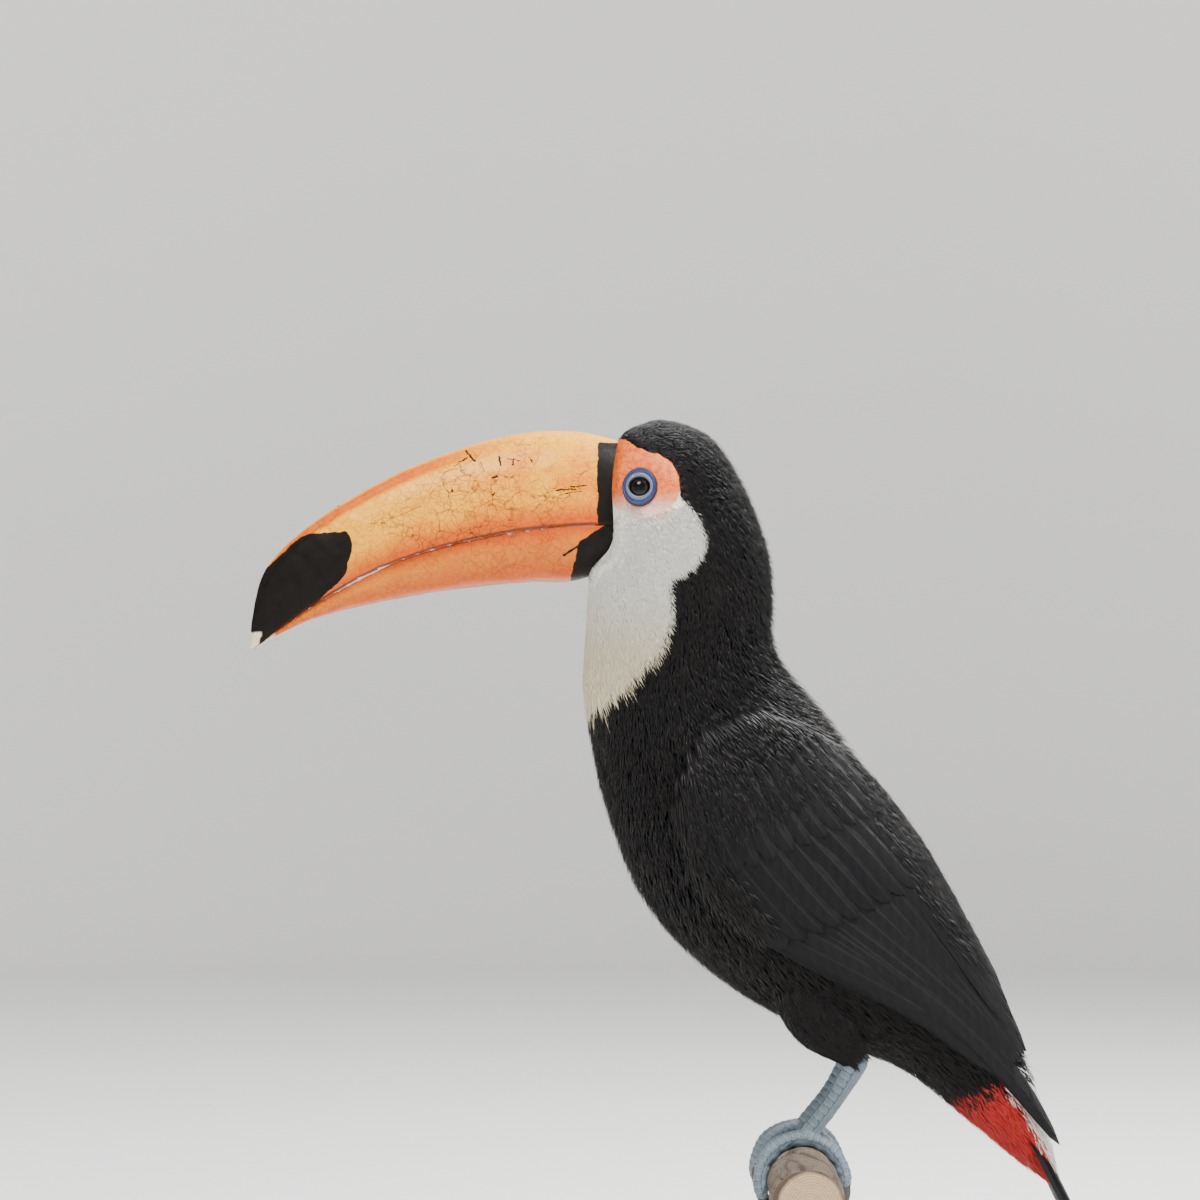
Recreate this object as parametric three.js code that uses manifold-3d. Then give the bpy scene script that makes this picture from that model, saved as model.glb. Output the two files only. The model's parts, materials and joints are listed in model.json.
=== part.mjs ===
// A life-size toco toucan, perched upright on a short branch that a display stand holds.
//
// Millimetres, +Z up. The origin is the middle of the stand's underside. The bird faces -X, its left side is
// towards -Y, and the X-Z plane is its plane of symmetry. All lengths of the bird are given in the bird's own
// frame, whose origin is midway between the feet, just above the branch; one group lifts it onto the stand.
// Every part of the body is a solid of its own, with a thin cut between neighbours.

import * as THREE from "three";
import { mergeVertices } from "three/addons/utils/BufferGeometryUtils.js";
import Module from "manifold-3d";

const wasm = await Module();
wasm.setup();

// ---------------------------------------------------------------------------------------------------------
// Driving dimensions
// ---------------------------------------------------------------------------------------------------------

const GAP = 0.3; // the thin cut between neighbouring pieces
const SLIVER = 0.1; // how far a surface may move when its narrowest faces are merged
const LIFT = 144; // height of the bird's own origin above the floor

// The body from the root of the bill to the root of the tail, as sections that fan round the throat.
// back and front are where a section meets the bird's outline in its plane of symmetry, half is half its
// width, and high moves its widest level towards the back (above 0) or the front (below 0).
const BODY = [
  { at: "bill root", back: [-86, 303.5], front: [-94.5, 244], half: 21.3, high: 0 },
  { at: "brow", back: [-72.1, 312.3], front: [-93.9, 241.1], half: 24.2, high: 0.05 },
  { at: "crown", back: [-60.1, 315.2], front: [-94.3, 237.6], half: 26.6, high: 0.1 },
  { at: "hind crown", back: [-41.8, 308.8], front: [-94.8, 232.7], half: 29, high: 0.13 },
  { at: "back of the head", back: [-27.6, 290.1], front: [-95.2, 226.4], half: 30.6, high: 0.12 },
  { at: "nape", back: [-19.1, 271.4], front: [-95.7, 218.4], half: 31.4, high: 0.09 },
  { at: "upper neck", back: [-12.9, 251.8], front: [-96.6, 207.3], half: 32, high: 0.06 },
  { at: "neck", back: [-11.6, 234], front: [-97, 194], half: 32.6, high: 0.02 },
  { at: "neck's foot", back: [-11.4, 217], front: [-95.2, 179.7], half: 35.6, high: 0.02 },
  { at: "shoulders", back: [-4.4, 201.5], front: [-92.6, 164.1], half: 40.5, high: 0.04 },
  { at: "mantle", back: [12, 182.5], front: [-88.6, 145.9], half: 45.5, high: 0.05 },
  { at: "upper back", back: [25.6, 163.2], front: [-82.3, 126.3], half: 48.5, high: 0.04 },
  { at: "back", back: [39.2, 144.4], front: [-73.4, 105], half: 49.8, high: 0.02 },
  { at: "breast", back: [52.4, 125.4], front: [-58.7, 84.9], half: 49, high: 0 },
  { at: "belly", back: [64.3, 105.3], front: [-39.2, 67.1], half: 46, high: 0 },
  { at: "lower back", back: [75, 84.6], front: [-15.6, 51.6], half: 41, high: 0 },
  { at: "rump", back: [86, 61.8], front: [13.4, 38.2], half: 33.5, high: 0 },
  { at: "vent", back: [95.8, 40.6], front: [46.7, 23.7], half: 26, high: 0 },
  { at: "tail root", back: [103.5, 22], front: [75, 1.6], half: 19.5, high: 0 },
  { at: "tail coverts", back: [109.6, 3], front: [94, -14], half: 15, high: 0 },
  { at: "ends of the coverts", back: [114, -16], front: [108, -24], half: 8, high: 0 },
];
const HEAD_END = 5.4; // where the head ends and the neck begins, counted in sections
const NECK_END = 8.7; // where the neck ends and the trunk begins
const BODY_SIDES = 24;
// Where the feathers of the face end on the bill, from the forehead down to the chin.
const FACE_EDGE = [
  [-79.6, 309],
  [-81.2, 292],
  [-80.8, 276],
  [-81.2, 260],
  [-83.4, 253],
  [-88, 249.6],
  [-93.6, 247],
];

// The folded wings fill the room between the trunk and this cover, which runs past the tail's root.
const COVER = [
  { at: "shoulder", back: [-3.4, 203], front: [-99, 161], half: 45.5, high: 0.04 },
  { at: "scapulars", back: [13.8, 184.2], front: [-94.6, 142], half: 51, high: 0.04 },
  { at: "wing coverts", back: [28.9, 165.5], front: [-88, 122], half: 54.5, high: 0.04 },
  { at: "mid wing", back: [42.7, 146.8], front: [-79, 100.5], half: 56, high: 0.02 },
  { at: "secondaries", back: [56.1, 128.1], front: [-64, 80], half: 55, high: 0 },
  { at: "tertials", back: [68.1, 107.8], front: [-44, 62], half: 52, high: 0 },
  { at: "tertial tips", back: [79.6, 86.8], front: [-19, 46], half: 47, high: 0 },
  { at: "rump side", back: [91.5, 64.6], front: [10, 31], half: 40.5, high: 0 },
  { at: "tail coverts", back: [102.5, 42], front: [42, 14], half: 33.5, high: 0 },
  { at: "primaries", back: [112, 18], front: [72, -6], half: 27.5, high: 0 },
  { at: "wing tip", back: [121, -4], front: [94, -22], half: 23, high: 0 },
];
// How far round the cover each edge of a wing lies at each of its sections, in degrees from the back.
const WING_TOP = [62, 38, 17, 8, 7, 7, 9, 14, 20, 26, 30];
const WING_BOTTOM = [86, 110, 120, 124, 124, 121, 116, 107, 94, 76, 54];
const WING_START = 0.2;
const WING_END = 8.7; // where the secondaries end
const PRIMARIES_START = 5.6;
const PRIMARIES_WIDTH = 48; // degrees of the cover that the closed primaries take up
const WING_EDGE = 3; // how far a wing's edges lie under the cover
const WING_DEPTH = 10; // how far its inner face reaches in, before the trunk is cut from it
const WING_PLATE = 4; // thickness of the wing where it runs past the trunk

// The upper bill from its root to its tip: ridge and edge are points of its culmen and of its cutting edge.
const UPPER_BILL = [
  { ridge: [-76, 303.5], edge: [-77, 267.3], half: 19.8 },
  { ridge: [-97.9, 308.9], edge: [-97.9, 267.3], half: 20.8 },
  { ridge: [-124.6, 308.2], edge: [-121, 265.4], half: 19.4 },
  { ridge: [-151.3, 301.3], edge: [-143, 261.6], half: 17.9 },
  { ridge: [-178, 291], edge: [-164, 256.4], half: 15.9 },
  { ridge: [-204.7, 276.5], edge: [-184.7, 249.1], half: 13.3 },
  { ridge: [-225.2, 262], edge: [-202.5, 240.2], half: 10.3 },
  { ridge: [-238.5, 246.6], edge: [-219, 230.4], half: 6.9 },
  { ridge: [-243.4, 229.4], edge: [-232.5, 220.6], half: 3.6 },
  { ridge: [-245, 212.6], edge: [-243.2, 212.2], half: 0.9 },
];
// The lower bill in the same way: ridge is on its keel.
const LOWER_BILL = [
  { edge: [-77, 266.5], ridge: [-81, 252], half: 19.6 },
  { edge: [-97.9, 266.5], ridge: [-98.6, 242.7], half: 20.6 },
  { edge: [-121, 264.6], ridge: [-121, 241.8], half: 18.9 },
  { edge: [-143, 260.8], ridge: [-144, 239.7], half: 17 },
  { edge: [-164, 255.6], ridge: [-167, 236.6], half: 14.7 },
  { edge: [-184.7, 248.3], ridge: [-189, 232.5], half: 12 },
  { edge: [-202.5, 239.4], ridge: [-207, 228.2], half: 9 },
  { edge: [-219, 229.6], ridge: [-222, 223.3], half: 5.4 },
  { edge: [-237.8, 216.4], ridge: [-238.2, 215.4], half: 0.9 },
];
const BILL_SQUARENESS = 2.35; // of a section's arch: 2 is an ellipse
const PALATE_RISE = 0.18; // how far a mandible's inner face is hollowed, as a share of its height

const EYE = { x: -71.6, z: 283.8, radius: 4.6, proud: 1.9 };
const EYE_RING = { wide: 8.1, high: 8.8, inner: 4.9, thick: 2.4, proud: 0.7 };

const TAIL = {
  root: [84, 34],
  slope: 63, // degrees below the horizontal
  length: 164,
  half: [12, 17, 21.5, 24, 25.8, 27, 27.6, 26, 19], // half its width, evenly spaced from root to tip
  thick: [9, 8.6, 7.4, 6.2, 5.2, 4.4, 3.8, 3.2, 2.2],
  arch: 2.4, // how far its middle stands above its sides
};

const PERCH = { radius: 16, axis: -22, length: 170, bend: 3, taper: 1.6, sides: 15 };
const FOOT = { apart: 22, x: 3, z: -1.5 };
const ANKLE = { x: 24, z: 30.5 };
const KNEE = { x: -5, z: 70 };
const SHANK = { ankle: 5.2, middle: 3.9, foot: 4.4 };
const THIGH = { knee: 13, middle: 14.5, ankle: 7.2 };
// Toes run round the branch: two forwards and two backwards. arc is how far round, in degrees from its top.
const TOES = [
  { name: "inner_front", arc: 88, side: -9, thick: 3.5 },
  { name: "outer_front", arc: 116, side: 8, thick: 3.7 },
  { name: "inner_back", arc: -66, side: -9, thick: 3.3 },
  { name: "outer_back", arc: -100, side: 8, thick: 3.6 },
];
const CLAW = { arc: 38, thick: 2.6, lift: 1.3 };

const BASE = { length: 210, width: 180, thick: 16, corner: 26, bevel: 2.5 };
const ROD = { radius: 4, apart: 96, seat: 6 };

const COLOURS = {
  black: 0x15141a,
  white: 0xf1ece0,
  orange: 0xe88a1f,
  wing: 0x1b191d,
  blue: 0x2b4fa8,
  eye: 0x120b08,
  leg: 0x6f8496,
  claw: 0x2a2a2e,
  bark: 0x6b5340,
  wood: 0x2b211b,
  steel: 0x9a9a9c,
};

// ---------------------------------------------------------------------------------------------------------
// Making solids
// ---------------------------------------------------------------------------------------------------------

const flat = ([x, z], y = 0) => new THREE.Vector3(x, y, z);

// A smooth curve through points that are evenly spaced in its parameter, which counts the points from 0.
class Through {
  constructor(points) {
    this.last = points.length - 1;
    this.curve = new THREE.CatmullRomCurve3(points, false, "catmullrom", 0.5);
  }
  at(s) {
    return this.curve.getPoint(THREE.MathUtils.clamp(s / this.last, 0, 1));
  }
}
const numbersThrough = (values) => new Through(values.map((v) => new THREE.Vector3(v, 0, 0)));

// A closed solid over rings of points, each end closed to the ring's middle.
function loft(rings) {
  const sides = rings[0].length;
  const points = rings.flat();
  const faces = [];
  for (let r = 0; r < rings.length - 1; r++)
    for (let i = 0; i < sides; i++) {
      const a = r * sides + i;
      const b = r * sides + ((i + 1) % sides);
      faces.push(a, b, b + sides, a, b + sides, a + sides);
    }
  for (const end of [0, rings.length - 1]) {
    const middle = points.length;
    points.push(rings[end].reduce((sum, p) => sum.add(p), new THREE.Vector3()).divideScalar(sides));
    for (let i = 0; i < sides; i++) {
      const edge = [end * sides + i, end * sides + ((i + 1) % sides)];
      if (end === 0) edge.reverse();
      faces.push(...edge, middle);
    }
  }
  const geometry = new THREE.BufferGeometry().setFromPoints(points);
  geometry.setIndex(faces);
  return solid(geometry);
}

// A closed three.js geometry as a manifold solid with its faces pointing out.
function solid(geometry) {
  geometry.deleteAttribute("normal");
  geometry.deleteAttribute("uv");
  const merged = mergeVertices(geometry, 1e-4);
  const make = (triVerts) =>
    new wasm.Manifold(
      new wasm.Mesh({ numProp: 3, vertProperties: merged.attributes.position.array, triVerts }),
    );
  const made = make(new Uint32Array(merged.index.array));
  return made.volume() > 0 ? made : make(new Uint32Array(merged.index.array).reverse());
}

// Where cuts have left crumbs, only the largest body stays, and narrow faces are merged into their neighbours.
function tidied(shape) {
  const largest = shape.decompose().sort((a, b) => b.volume() - a.volume())[0];
  return largest.asOriginal().simplify(SLIVER);
}

// A manifold solid as a named, coloured mesh
function mesh(name, shape, colour, roughness = 0.7, metalness = 0) {
  const made = shape.getMesh();
  const geometry = new THREE.BufferGeometry();
  geometry.setAttribute("position", new THREE.BufferAttribute(new Float32Array(made.vertProperties), 3));
  geometry.setIndex(new THREE.BufferAttribute(new Uint32Array(made.triVerts), 1));
  geometry.computeVertexNormals();
  const material = new THREE.MeshStandardMaterial({ color: colour, roughness, metalness });
  const result = new THREE.Mesh(geometry, material);
  result.name = name;
  return result;
}

const mirrored = (shape) => shape.mirror([0, 1, 0]);

// count values from a to b, both included
const steps = (a, b, count) => Array.from({ length: count }, (_, i) => a + ((b - a) * i) / (count - 1));

// ---------------------------------------------------------------------------------------------------------
// Body, wings and tail
// ---------------------------------------------------------------------------------------------------------

// A smooth envelope through sections. point(s, turn, grow) is on section s, turn radians round from the back
// towards -Y, and grow outside it.
class Envelope {
  constructor(sections) {
    this.back = new Through(sections.map((s) => flat(s.back)));
    this.front = new Through(sections.map((s) => flat(s.front)));
    this.form = new Through(sections.map((s) => new THREE.Vector3(s.half, s.high, 0)));
  }
  point(s, turn, grow = 0) {
    const back = this.back.at(s);
    const front = this.front.at(s);
    const form = this.form.at(s);
    const middle = back.clone().add(front).multiplyScalar(0.5);
    const reach = back.clone().sub(middle);
    const wide = (form.x + grow) * Math.sin(turn) * (1 + form.y * Math.cos(turn));
    reach.setLength(reach.length() + grow).multiplyScalar(Math.cos(turn));
    return middle.add(reach).add(new THREE.Vector3(0, -wide, 0));
  }
  ring(s, sides, grow = 0) {
    return Array.from({ length: sides }, (_, i) => this.point(s, (2 * Math.PI * i) / sides, grow));
  }
  // The half-width where the side of the envelope passes over the point x, z of the plane of symmetry.
  sideAt(x, z, from, to) {
    const target = flat([x, z]);
    const past = (s) => {
      const front = this.front.at(s);
      const along = this.back.at(s).sub(front);
      const to = target.clone().sub(front);
      return along.z * to.x - along.x * to.z;
    };
    let [low, high] = [from, to];
    for (let i = 0; i < 40; i++) {
      const s = (low + high) / 2;
      if (past(s) * past(low) > 0) low = s;
      else high = s;
    }
    const back = this.back.at(low);
    const front = this.front.at(low);
    const share = target.clone().sub(front).length() / back.clone().sub(front).length();
    return -this.point(low, Math.acos(2 * share - 1)).y;
  }
}

const body = new Envelope(BODY);
const cover = new Envelope(COVER);

const stretch = (from, to, count, grow = 0) =>
  loft(steps(from, to, count).map((s) => body.ring(s, BODY_SIDES, grow)));

// A patch of the cover as a thick shell: near and far are the angles of its two edges at section s, and
// depth is how far its inner face lies inside the cover.
function patch(from, to, count, across, near, far, depth, sunk = 0, grow = 0) {
  return loft(
    steps(from - grow / 20, to + grow / 20, count).map((s, i) => {
      const closing = Math.min(1, (i + 0.35) / 2, (count - 1 - i + 0.35) / 2);
      const edge = (share) => WING_EDGE * (1 - Math.pow(Math.sin(Math.PI * share), 0.5)) * 1;
      const row = (inner) =>
        steps(0, 1, across).map((share) => {
          const turn = THREE.MathUtils.lerp(near(s), far(s), share);
          const lies = sunk + Math.max(edge(share), WING_EDGE * (1 - closing));
          const inset = inner ? Math.max(depth(s), lies + 1.6) + grow : lies - grow;
          return cover.point(s, THREE.MathUtils.degToRad(turn), -inset);
        });
      return [...row(false), ...row(true).reverse()];
    }),
  );
}

const wingTop = numbersThrough(WING_TOP);
const wingBottom = numbersThrough(WING_BOTTOM);
const wingDepth = (s) => THREE.MathUtils.lerp(WING_DEPTH, WING_PLATE, THREE.MathUtils.smoothstep(s, 6.4, 8));

function wing(grow = 0) {
  const near = (s) => wingTop.at(s).x - grow;
  const far = (s) => {
    const secondaries = THREE.MathUtils.smoothstep(s, PRIMARIES_START, WING_END) * PRIMARIES_WIDTH * 0.7;
    return wingBottom.at(s).x - secondaries + grow;
  };
  return patch(WING_START, WING_END, 12, 7, near, far, wingDepth, 0, grow);
}

function primaries() {
  const near = (s) => Math.max(wingTop.at(s).x, wingBottom.at(s).x - PRIMARIES_WIDTH);
  const far = (s) => wingBottom.at(s).x - 3;
  return patch(PRIMARIES_START, cover.back.last, 7, 4, near, far, () => WING_PLATE + 2, 1.6);
}

function tail() {
  const slope = THREE.MathUtils.degToRad(TAIL.slope);
  const along = new THREE.Vector3(Math.cos(slope), 0, -Math.sin(slope));
  const up = new THREE.Vector3(Math.sin(slope), 0, Math.cos(slope));
  const halves = numbersThrough(TAIL.half);
  const thicks = numbersThrough(TAIL.thick);
  return loft(
    steps(0, halves.last, 10).map((s) => {
      const half = halves.at(s).x;
      const thick = thicks.at(s).x;
      const spine = flat(TAIL.root).addScaledVector(along, (TAIL.length * s) / halves.last);
      const row = (level) =>
        steps(-1, 1, 7).map((share) => {
          const rounded = 1 - 0.55 * Math.pow(Math.abs(share), 3);
          const rise = -TAIL.arch * share * share + level * thick * 0.5 * rounded;
          return spine
            .clone()
            .addScaledVector(up, rise)
            .add(new THREE.Vector3(0, half * share, 0));
        });
      return [...row(1), ...row(-1).reverse()];
    }),
  );
}

// ---------------------------------------------------------------------------------------------------------
// Bill and eyes
// ---------------------------------------------------------------------------------------------------------

// One mandible: an arch over the inner face between its cutting edges. Ridge and edge give its height.
function mandible(sections, count, grow = 0) {
  const ridge = new Through(sections.map((s) => flat(s.ridge)));
  const edge = new Through(sections.map((s) => flat(s.edge)));
  const halves = numbersThrough(sections.map((s) => s.half));
  return loft(
    steps(0, ridge.last, count).map((s, i) => {
      const low = edge.at(s);
      const rise = ridge.at(s).sub(low);
      const half = halves.at(s).x + grow;
      const arch = steps(0, Math.PI, 13).map((turn) => {
        const c = Math.cos(turn);
        const wide = Math.sign(c) * Math.pow(Math.abs(c), 2 / BILL_SQUARENESS);
        const high = Math.pow(Math.abs(Math.sin(turn)), 2 / BILL_SQUARENESS);
        return low
          .clone()
          .add(rise.clone().setLength(high * (rise.length() + grow) - grow * (1 - high)))
          .add(new THREE.Vector3(i === 0 ? grow : 0, half * wide, 0));
      });
      const palate = steps(-1, 1, 4)
        .slice(1, -1)
        .map((share) => {
          const hollow = PALATE_RISE * (1 - share * share) * (grow ? 0 : 1);
          return low
            .clone()
            .addScaledVector(rise, hollow)
            .add(new THREE.Vector3(i === 0 ? grow : 0, half * share * 0.98, 0));
        });
      return [...arch, ...palate];
    }),
  );
}

const upperBill = mandible(UPPER_BILL, 16);
const lowerBill = mandible(LOWER_BILL, 14);

// Where the left eye sits on the face, and the turn from a side-facing eye to the way the face leans there.
const seat = {
  at: new THREE.Vector3(EYE.x, -body.sideAt(EYE.x, EYE.z, 0.5, 4), EYE.z),
  out: new THREE.Vector3(
    body.sideAt(EYE.x - 1, EYE.z, 0.5, 4) - body.sideAt(EYE.x + 1, EYE.z, 0.5, 4),
    -2,
    body.sideAt(EYE.x, EYE.z - 1, 0.5, 4) - body.sideAt(EYE.x, EYE.z + 1, 0.5, 4),
  ).normalize(),
};
const lean = new THREE.Quaternion().setFromUnitVectors(new THREE.Vector3(0, -1, 0), seat.out);

function eyeball(grow = 0) {
  const ball = new THREE.SphereGeometry(EYE.radius + grow, 12, 9);
  const middle = seat.at.clone().addScaledVector(seat.out, EYE.proud - EYE.radius);
  ball.translate(...middle.toArray());
  return solid(ball);
}

// The lids and the ring of blue skin round them
function eyeRing(grow = 0) {
  const middle = (1 + EYE_RING.inner / EYE_RING.wide) / 2;
  const ring = new THREE.TorusGeometry(middle, 1 - middle + grow / EYE_RING.wide, 6, 18);
  ring.scale(EYE_RING.wide, EYE_RING.high, EYE_RING.thick * 2 + 3 * grow);
  ring.rotateX(Math.PI / 2).applyQuaternion(lean);
  const sunk = EYE_RING.proud - EYE_RING.thick * (1 - middle) * 2;
  ring.translate(...seat.at.clone().addScaledVector(seat.out, sunk).toArray());
  return solid(ring);
}

// All that lies in front of the face's edge on the bill
function beforeFace() {
  const outline = new THREE.Shape();
  outline.moveTo(FACE_EDGE[0][0] - 30, FACE_EDGE[0][1] + 20);
  FACE_EDGE.forEach(([x, z]) => outline.lineTo(x, z));
  outline.lineTo(-130, FACE_EDGE.at(-1)[1]);
  const block = new THREE.ExtrudeGeometry(outline, { depth: 100, bevelEnabled: false });
  block.rotateX(Math.PI / 2).translate(0, 50, 0);
  return solid(block);
}

// ---------------------------------------------------------------------------------------------------------
// Legs, branch and stand
// ---------------------------------------------------------------------------------------------------------

// A round bar through points, with a radius at each, as rings square to its path.
function bar(points, radii, sides, count) {
  const path = new Through(points);
  const radius = numbersThrough(radii);
  return loft(
    steps(0, path.last, count).map((s) => {
      const ahead = path.at(s + 0.02).sub(path.at(s - 0.02)).normalize();
      const across = new THREE.Vector3(0, 1, 0).addScaledVector(ahead, -ahead.y).normalize();
      const other = ahead.clone().cross(across);
      return Array.from({ length: sides }, (_, i) => {
        const turn = (2 * Math.PI * i) / sides;
        return path
          .at(s)
          .addScaledVector(across, radius.at(s).x * Math.cos(turn))
          .addScaledVector(other, radius.at(s).x * Math.sin(turn));
      });
    }),
  );
}

// A point beside the branch: turn degrees round from its top towards the front, far from its axis.
function besidePerch(turn, far, y) {
  const angle = THREE.MathUtils.degToRad(turn);
  return new THREE.Vector3(-Math.sin(angle) * far, y, Math.cos(angle) * far + PERCH.axis);
}

function toe({ arc, side, thick }) {
  const turns = steps(0, arc, 6);
  const points = turns.map((turn, i) => {
    const spread = side * Math.pow(i / 5, 0.8) + Math.sign(side) * 1.5;
    return besidePerch(turn, PERCH.radius + thick * (1 - 0.04 * i) + 0.75, -FOOT.apart - spread);
  });
  return bar(points, [thick * 1.1, thick, thick * 1.04, thick * 0.92, thick * 0.96, thick * 0.8], 7, 6);
}

function claw({ arc, side, thick }) {
  const onward = Math.sign(arc);
  const start = arc + onward * 8;
  const points = [0, 0.5, 1].map((share) => {
    const far = PERCH.radius + thick * 0.95 + 0.9 + CLAW.lift * Math.sin(Math.PI * share);
    const y = -FOOT.apart - side - Math.sign(side) * 1.5;
    return besidePerch(start + onward * CLAW.arc * share, far - share * (thick - 1.2), y);
  });
  return bar(points, [CLAW.thick, CLAW.thick * 0.72, 0.45], 6, 5);
}

const ankle = new THREE.Vector3(ANKLE.x, -FOOT.apart - 1, ANKLE.z);

function foot() {
  const sole = new THREE.Vector3(FOOT.x, -FOOT.apart, FOOT.z);
  const shin = ankle.clone().lerp(sole, 0.5).add(new THREE.Vector3(1.6, 0, 0));
  const top = ankle.clone().add(new THREE.Vector3(-3.4, 0, 3));
  const shank = bar([top, ankle, shin, sole], [SHANK.ankle * 0.9, SHANK.ankle, SHANK.middle, SHANK.foot], 9, 5);
  return TOES.reduce((joined, each) => joined.add(toe(each)), shank);
}

function thigh() {
  const knee = new THREE.Vector3(KNEE.x, -FOOT.apart + 2, KNEE.z);
  const end = ankle.clone().add(new THREE.Vector3(-1.2, 0, 3.6));
  const middle = knee.clone().lerp(end, 0.55).add(new THREE.Vector3(-2, 0, -1));
  return bar([knee, middle, end], [THIGH.knee, THIGH.middle, THIGH.ankle], 12, 6);
}

function perch(grow = 0) {
  const rings = steps(0, 1, 8).map((share) => {
    const y = (share - 0.5) * PERCH.length;
    const swell = 1 + 0.02 * Math.sin(share * 17) - (PERCH.taper / PERCH.radius) * (share - 0.5) * 0.5;
    return Array.from({ length: PERCH.sides }, (_, i) => {
      const turn = (2 * Math.PI * i) / PERCH.sides;
      const knobs = 1 + 0.012 * Math.sin(3 * turn + share * 9);
      const near = THREE.MathUtils.smoothstep(Math.abs(y), FOOT.apart + 16, FOOT.apart + 34);
      const radius = PERCH.radius * THREE.MathUtils.lerp(1, swell * knobs, near) + grow;
      const sag = -PERCH.bend * near * Math.pow(2 * share - 1, 2);
      return new THREE.Vector3(radius * Math.cos(turn), y, radius * Math.sin(turn) + PERCH.axis + sag);
    });
  });
  return loft(rings);
}

function standBase() {
  const [x, y, r] = [BASE.length / 2 - BASE.bevel, BASE.width / 2 - BASE.bevel, BASE.corner];
  const outline = new THREE.Shape();
  outline.moveTo(x - r, -y);
  outline.absarc(x - r, -y + r, r, -Math.PI / 2, 0);
  outline.absarc(x - r, y - r, r, 0, Math.PI / 2);
  outline.absarc(-x + r, y - r, r, Math.PI / 2, Math.PI);
  outline.absarc(-x + r, -y + r, r, Math.PI, 1.5 * Math.PI);
  const plate = new THREE.ExtrudeGeometry(outline, {
    depth: BASE.thick - 2 * BASE.bevel,
    bevelThickness: BASE.bevel,
    bevelSize: BASE.bevel,
    bevelSegments: 1,
    curveSegments: 4,
  });
  plate.translate(0, 0, BASE.bevel);
  return solid(plate);
}

// A rod from the base's top up into a shallow seat in the branch's underside.
function rod(y, grow = 0) {
  const bottom = BASE.thick + GAP - grow;
  const top = LIFT + PERCH.axis - PERCH.radius + ROD.seat + grow;
  const cylinder = new THREE.CylinderGeometry(ROD.radius + grow, ROD.radius + grow, top - bottom, 16);
  cylinder.rotateX(Math.PI / 2).translate(0, y, (top + bottom) / 2);
  return solid(cylinder);
}

// ---------------------------------------------------------------------------------------------------------
// The whole
// ---------------------------------------------------------------------------------------------------------

// The cut between two stretches, as a share of a section, so that it is GAP wide on the narrow side.
const cut = GAP / 8;

const sockets = eyeRing(GAP).add(eyeball(GAP));
const head = tidied(
  stretch(0, HEAD_END - cut, 11)
    .subtract(beforeFace())
    .subtract(mandible(UPPER_BILL, 16, GAP))
    .subtract(mandible(LOWER_BILL, 14, GAP))
    .subtract(sockets)
    .subtract(mirrored(sockets)),
);
const neck = stretch(HEAD_END, NECK_END - cut, 6);
const trunk = stretch(NECK_END, body.back.last, 17);
const trunkRoom = stretch(NECK_END, body.back.last, 17, GAP);
const eyeLeft = eyeball();
const ringLeft = eyeRing();
const footLeft = tidied(foot());
const footRoom = bar(
  [ankle.clone().add(new THREE.Vector3(-5, 0, 4.4)), ankle, new THREE.Vector3(FOOT.x, -FOOT.apart, FOOT.z)],
  [SHANK.ankle * 0.9 + GAP, SHANK.ankle + 2 * GAP, SHANK.foot],
  12,
  7,
);
const wingRoom = wing(GAP);
const thighLeft = tidied(thigh().subtract(trunkRoom).subtract(footRoom).subtract(wingRoom));
const wingLeft = tidied(wing().subtract(trunkRoom));
const primariesLeft = tidied(primaries().subtract(trunkRoom).subtract(wingRoom));
const tailFan = tidied(tail().subtract(trunkRoom));

const bird = new THREE.Group();
bird.add(mesh("bill_upper", upperBill, COLOURS.orange, 0.35));
bird.add(mesh("bill_lower", lowerBill, COLOURS.orange, 0.35));
bird.add(mesh("head", head, COLOURS.black, 0.8));
bird.add(mesh("neck", neck, COLOURS.white, 0.85));
bird.add(mesh("trunk", trunk, COLOURS.black, 0.8));
bird.add(mesh("tail", tailFan, COLOURS.wing, 0.65));

for (const [side, turn] of [
  ["left", (shape) => shape],
  ["right", mirrored],
]) {
  bird.add(mesh(`eye_${side}`, turn(eyeLeft), COLOURS.eye, 0.08));
  bird.add(mesh(`eye_ring_${side}`, turn(ringLeft), COLOURS.blue, 0.55));
  bird.add(mesh(`wing_${side}`, turn(wingLeft), COLOURS.wing, 0.65));
  bird.add(mesh(`primaries_${side}`, turn(primariesLeft), COLOURS.wing, 0.6));
  bird.add(mesh(`thigh_${side}`, turn(thighLeft), COLOURS.black, 0.85));
  bird.add(mesh(`foot_${side}`, turn(footLeft), COLOURS.leg, 0.6));
  for (const each of TOES)
    bird.add(mesh(`claw_${side}_${each.name}`, turn(claw(each).subtract(footLeft)), COLOURS.claw, 0.4));
}
bird.position.z = LIFT;

const rods = [-ROD.apart / 2, ROD.apart / 2];
const branch = perch().translate([0, 0, LIFT]);
const seated = tidied(rods.reduce((shape, y) => shape.subtract(rod(y, GAP)), branch));

const toucan = new THREE.Group();
toucan.add(bird);
toucan.add(mesh("perch", seated, COLOURS.bark, 0.9));
toucan.add(mesh("stand_base", standBase(), COLOURS.wood, 0.45));
rods.forEach((y, i) => toucan.add(mesh(`stand_rod_${i + 1}`, rod(y), COLOURS.steel, 0.35, 1)));

export default toucan;
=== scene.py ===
# %% [markdown]
# # A toco toucan on a display stand
# The solids of this bird are already made: a bill in two halves, a head, neck and trunk with thin cuts
# between them, wings, tail, legs and a stand. They are the frame, in true size and place. This notebook
# dresses them: one skin over all the flesh, feathers over the skin, horn on the bill, scales on the feet,
# bark on the branch.

# %% The ready-made solids
import json
import math

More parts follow.
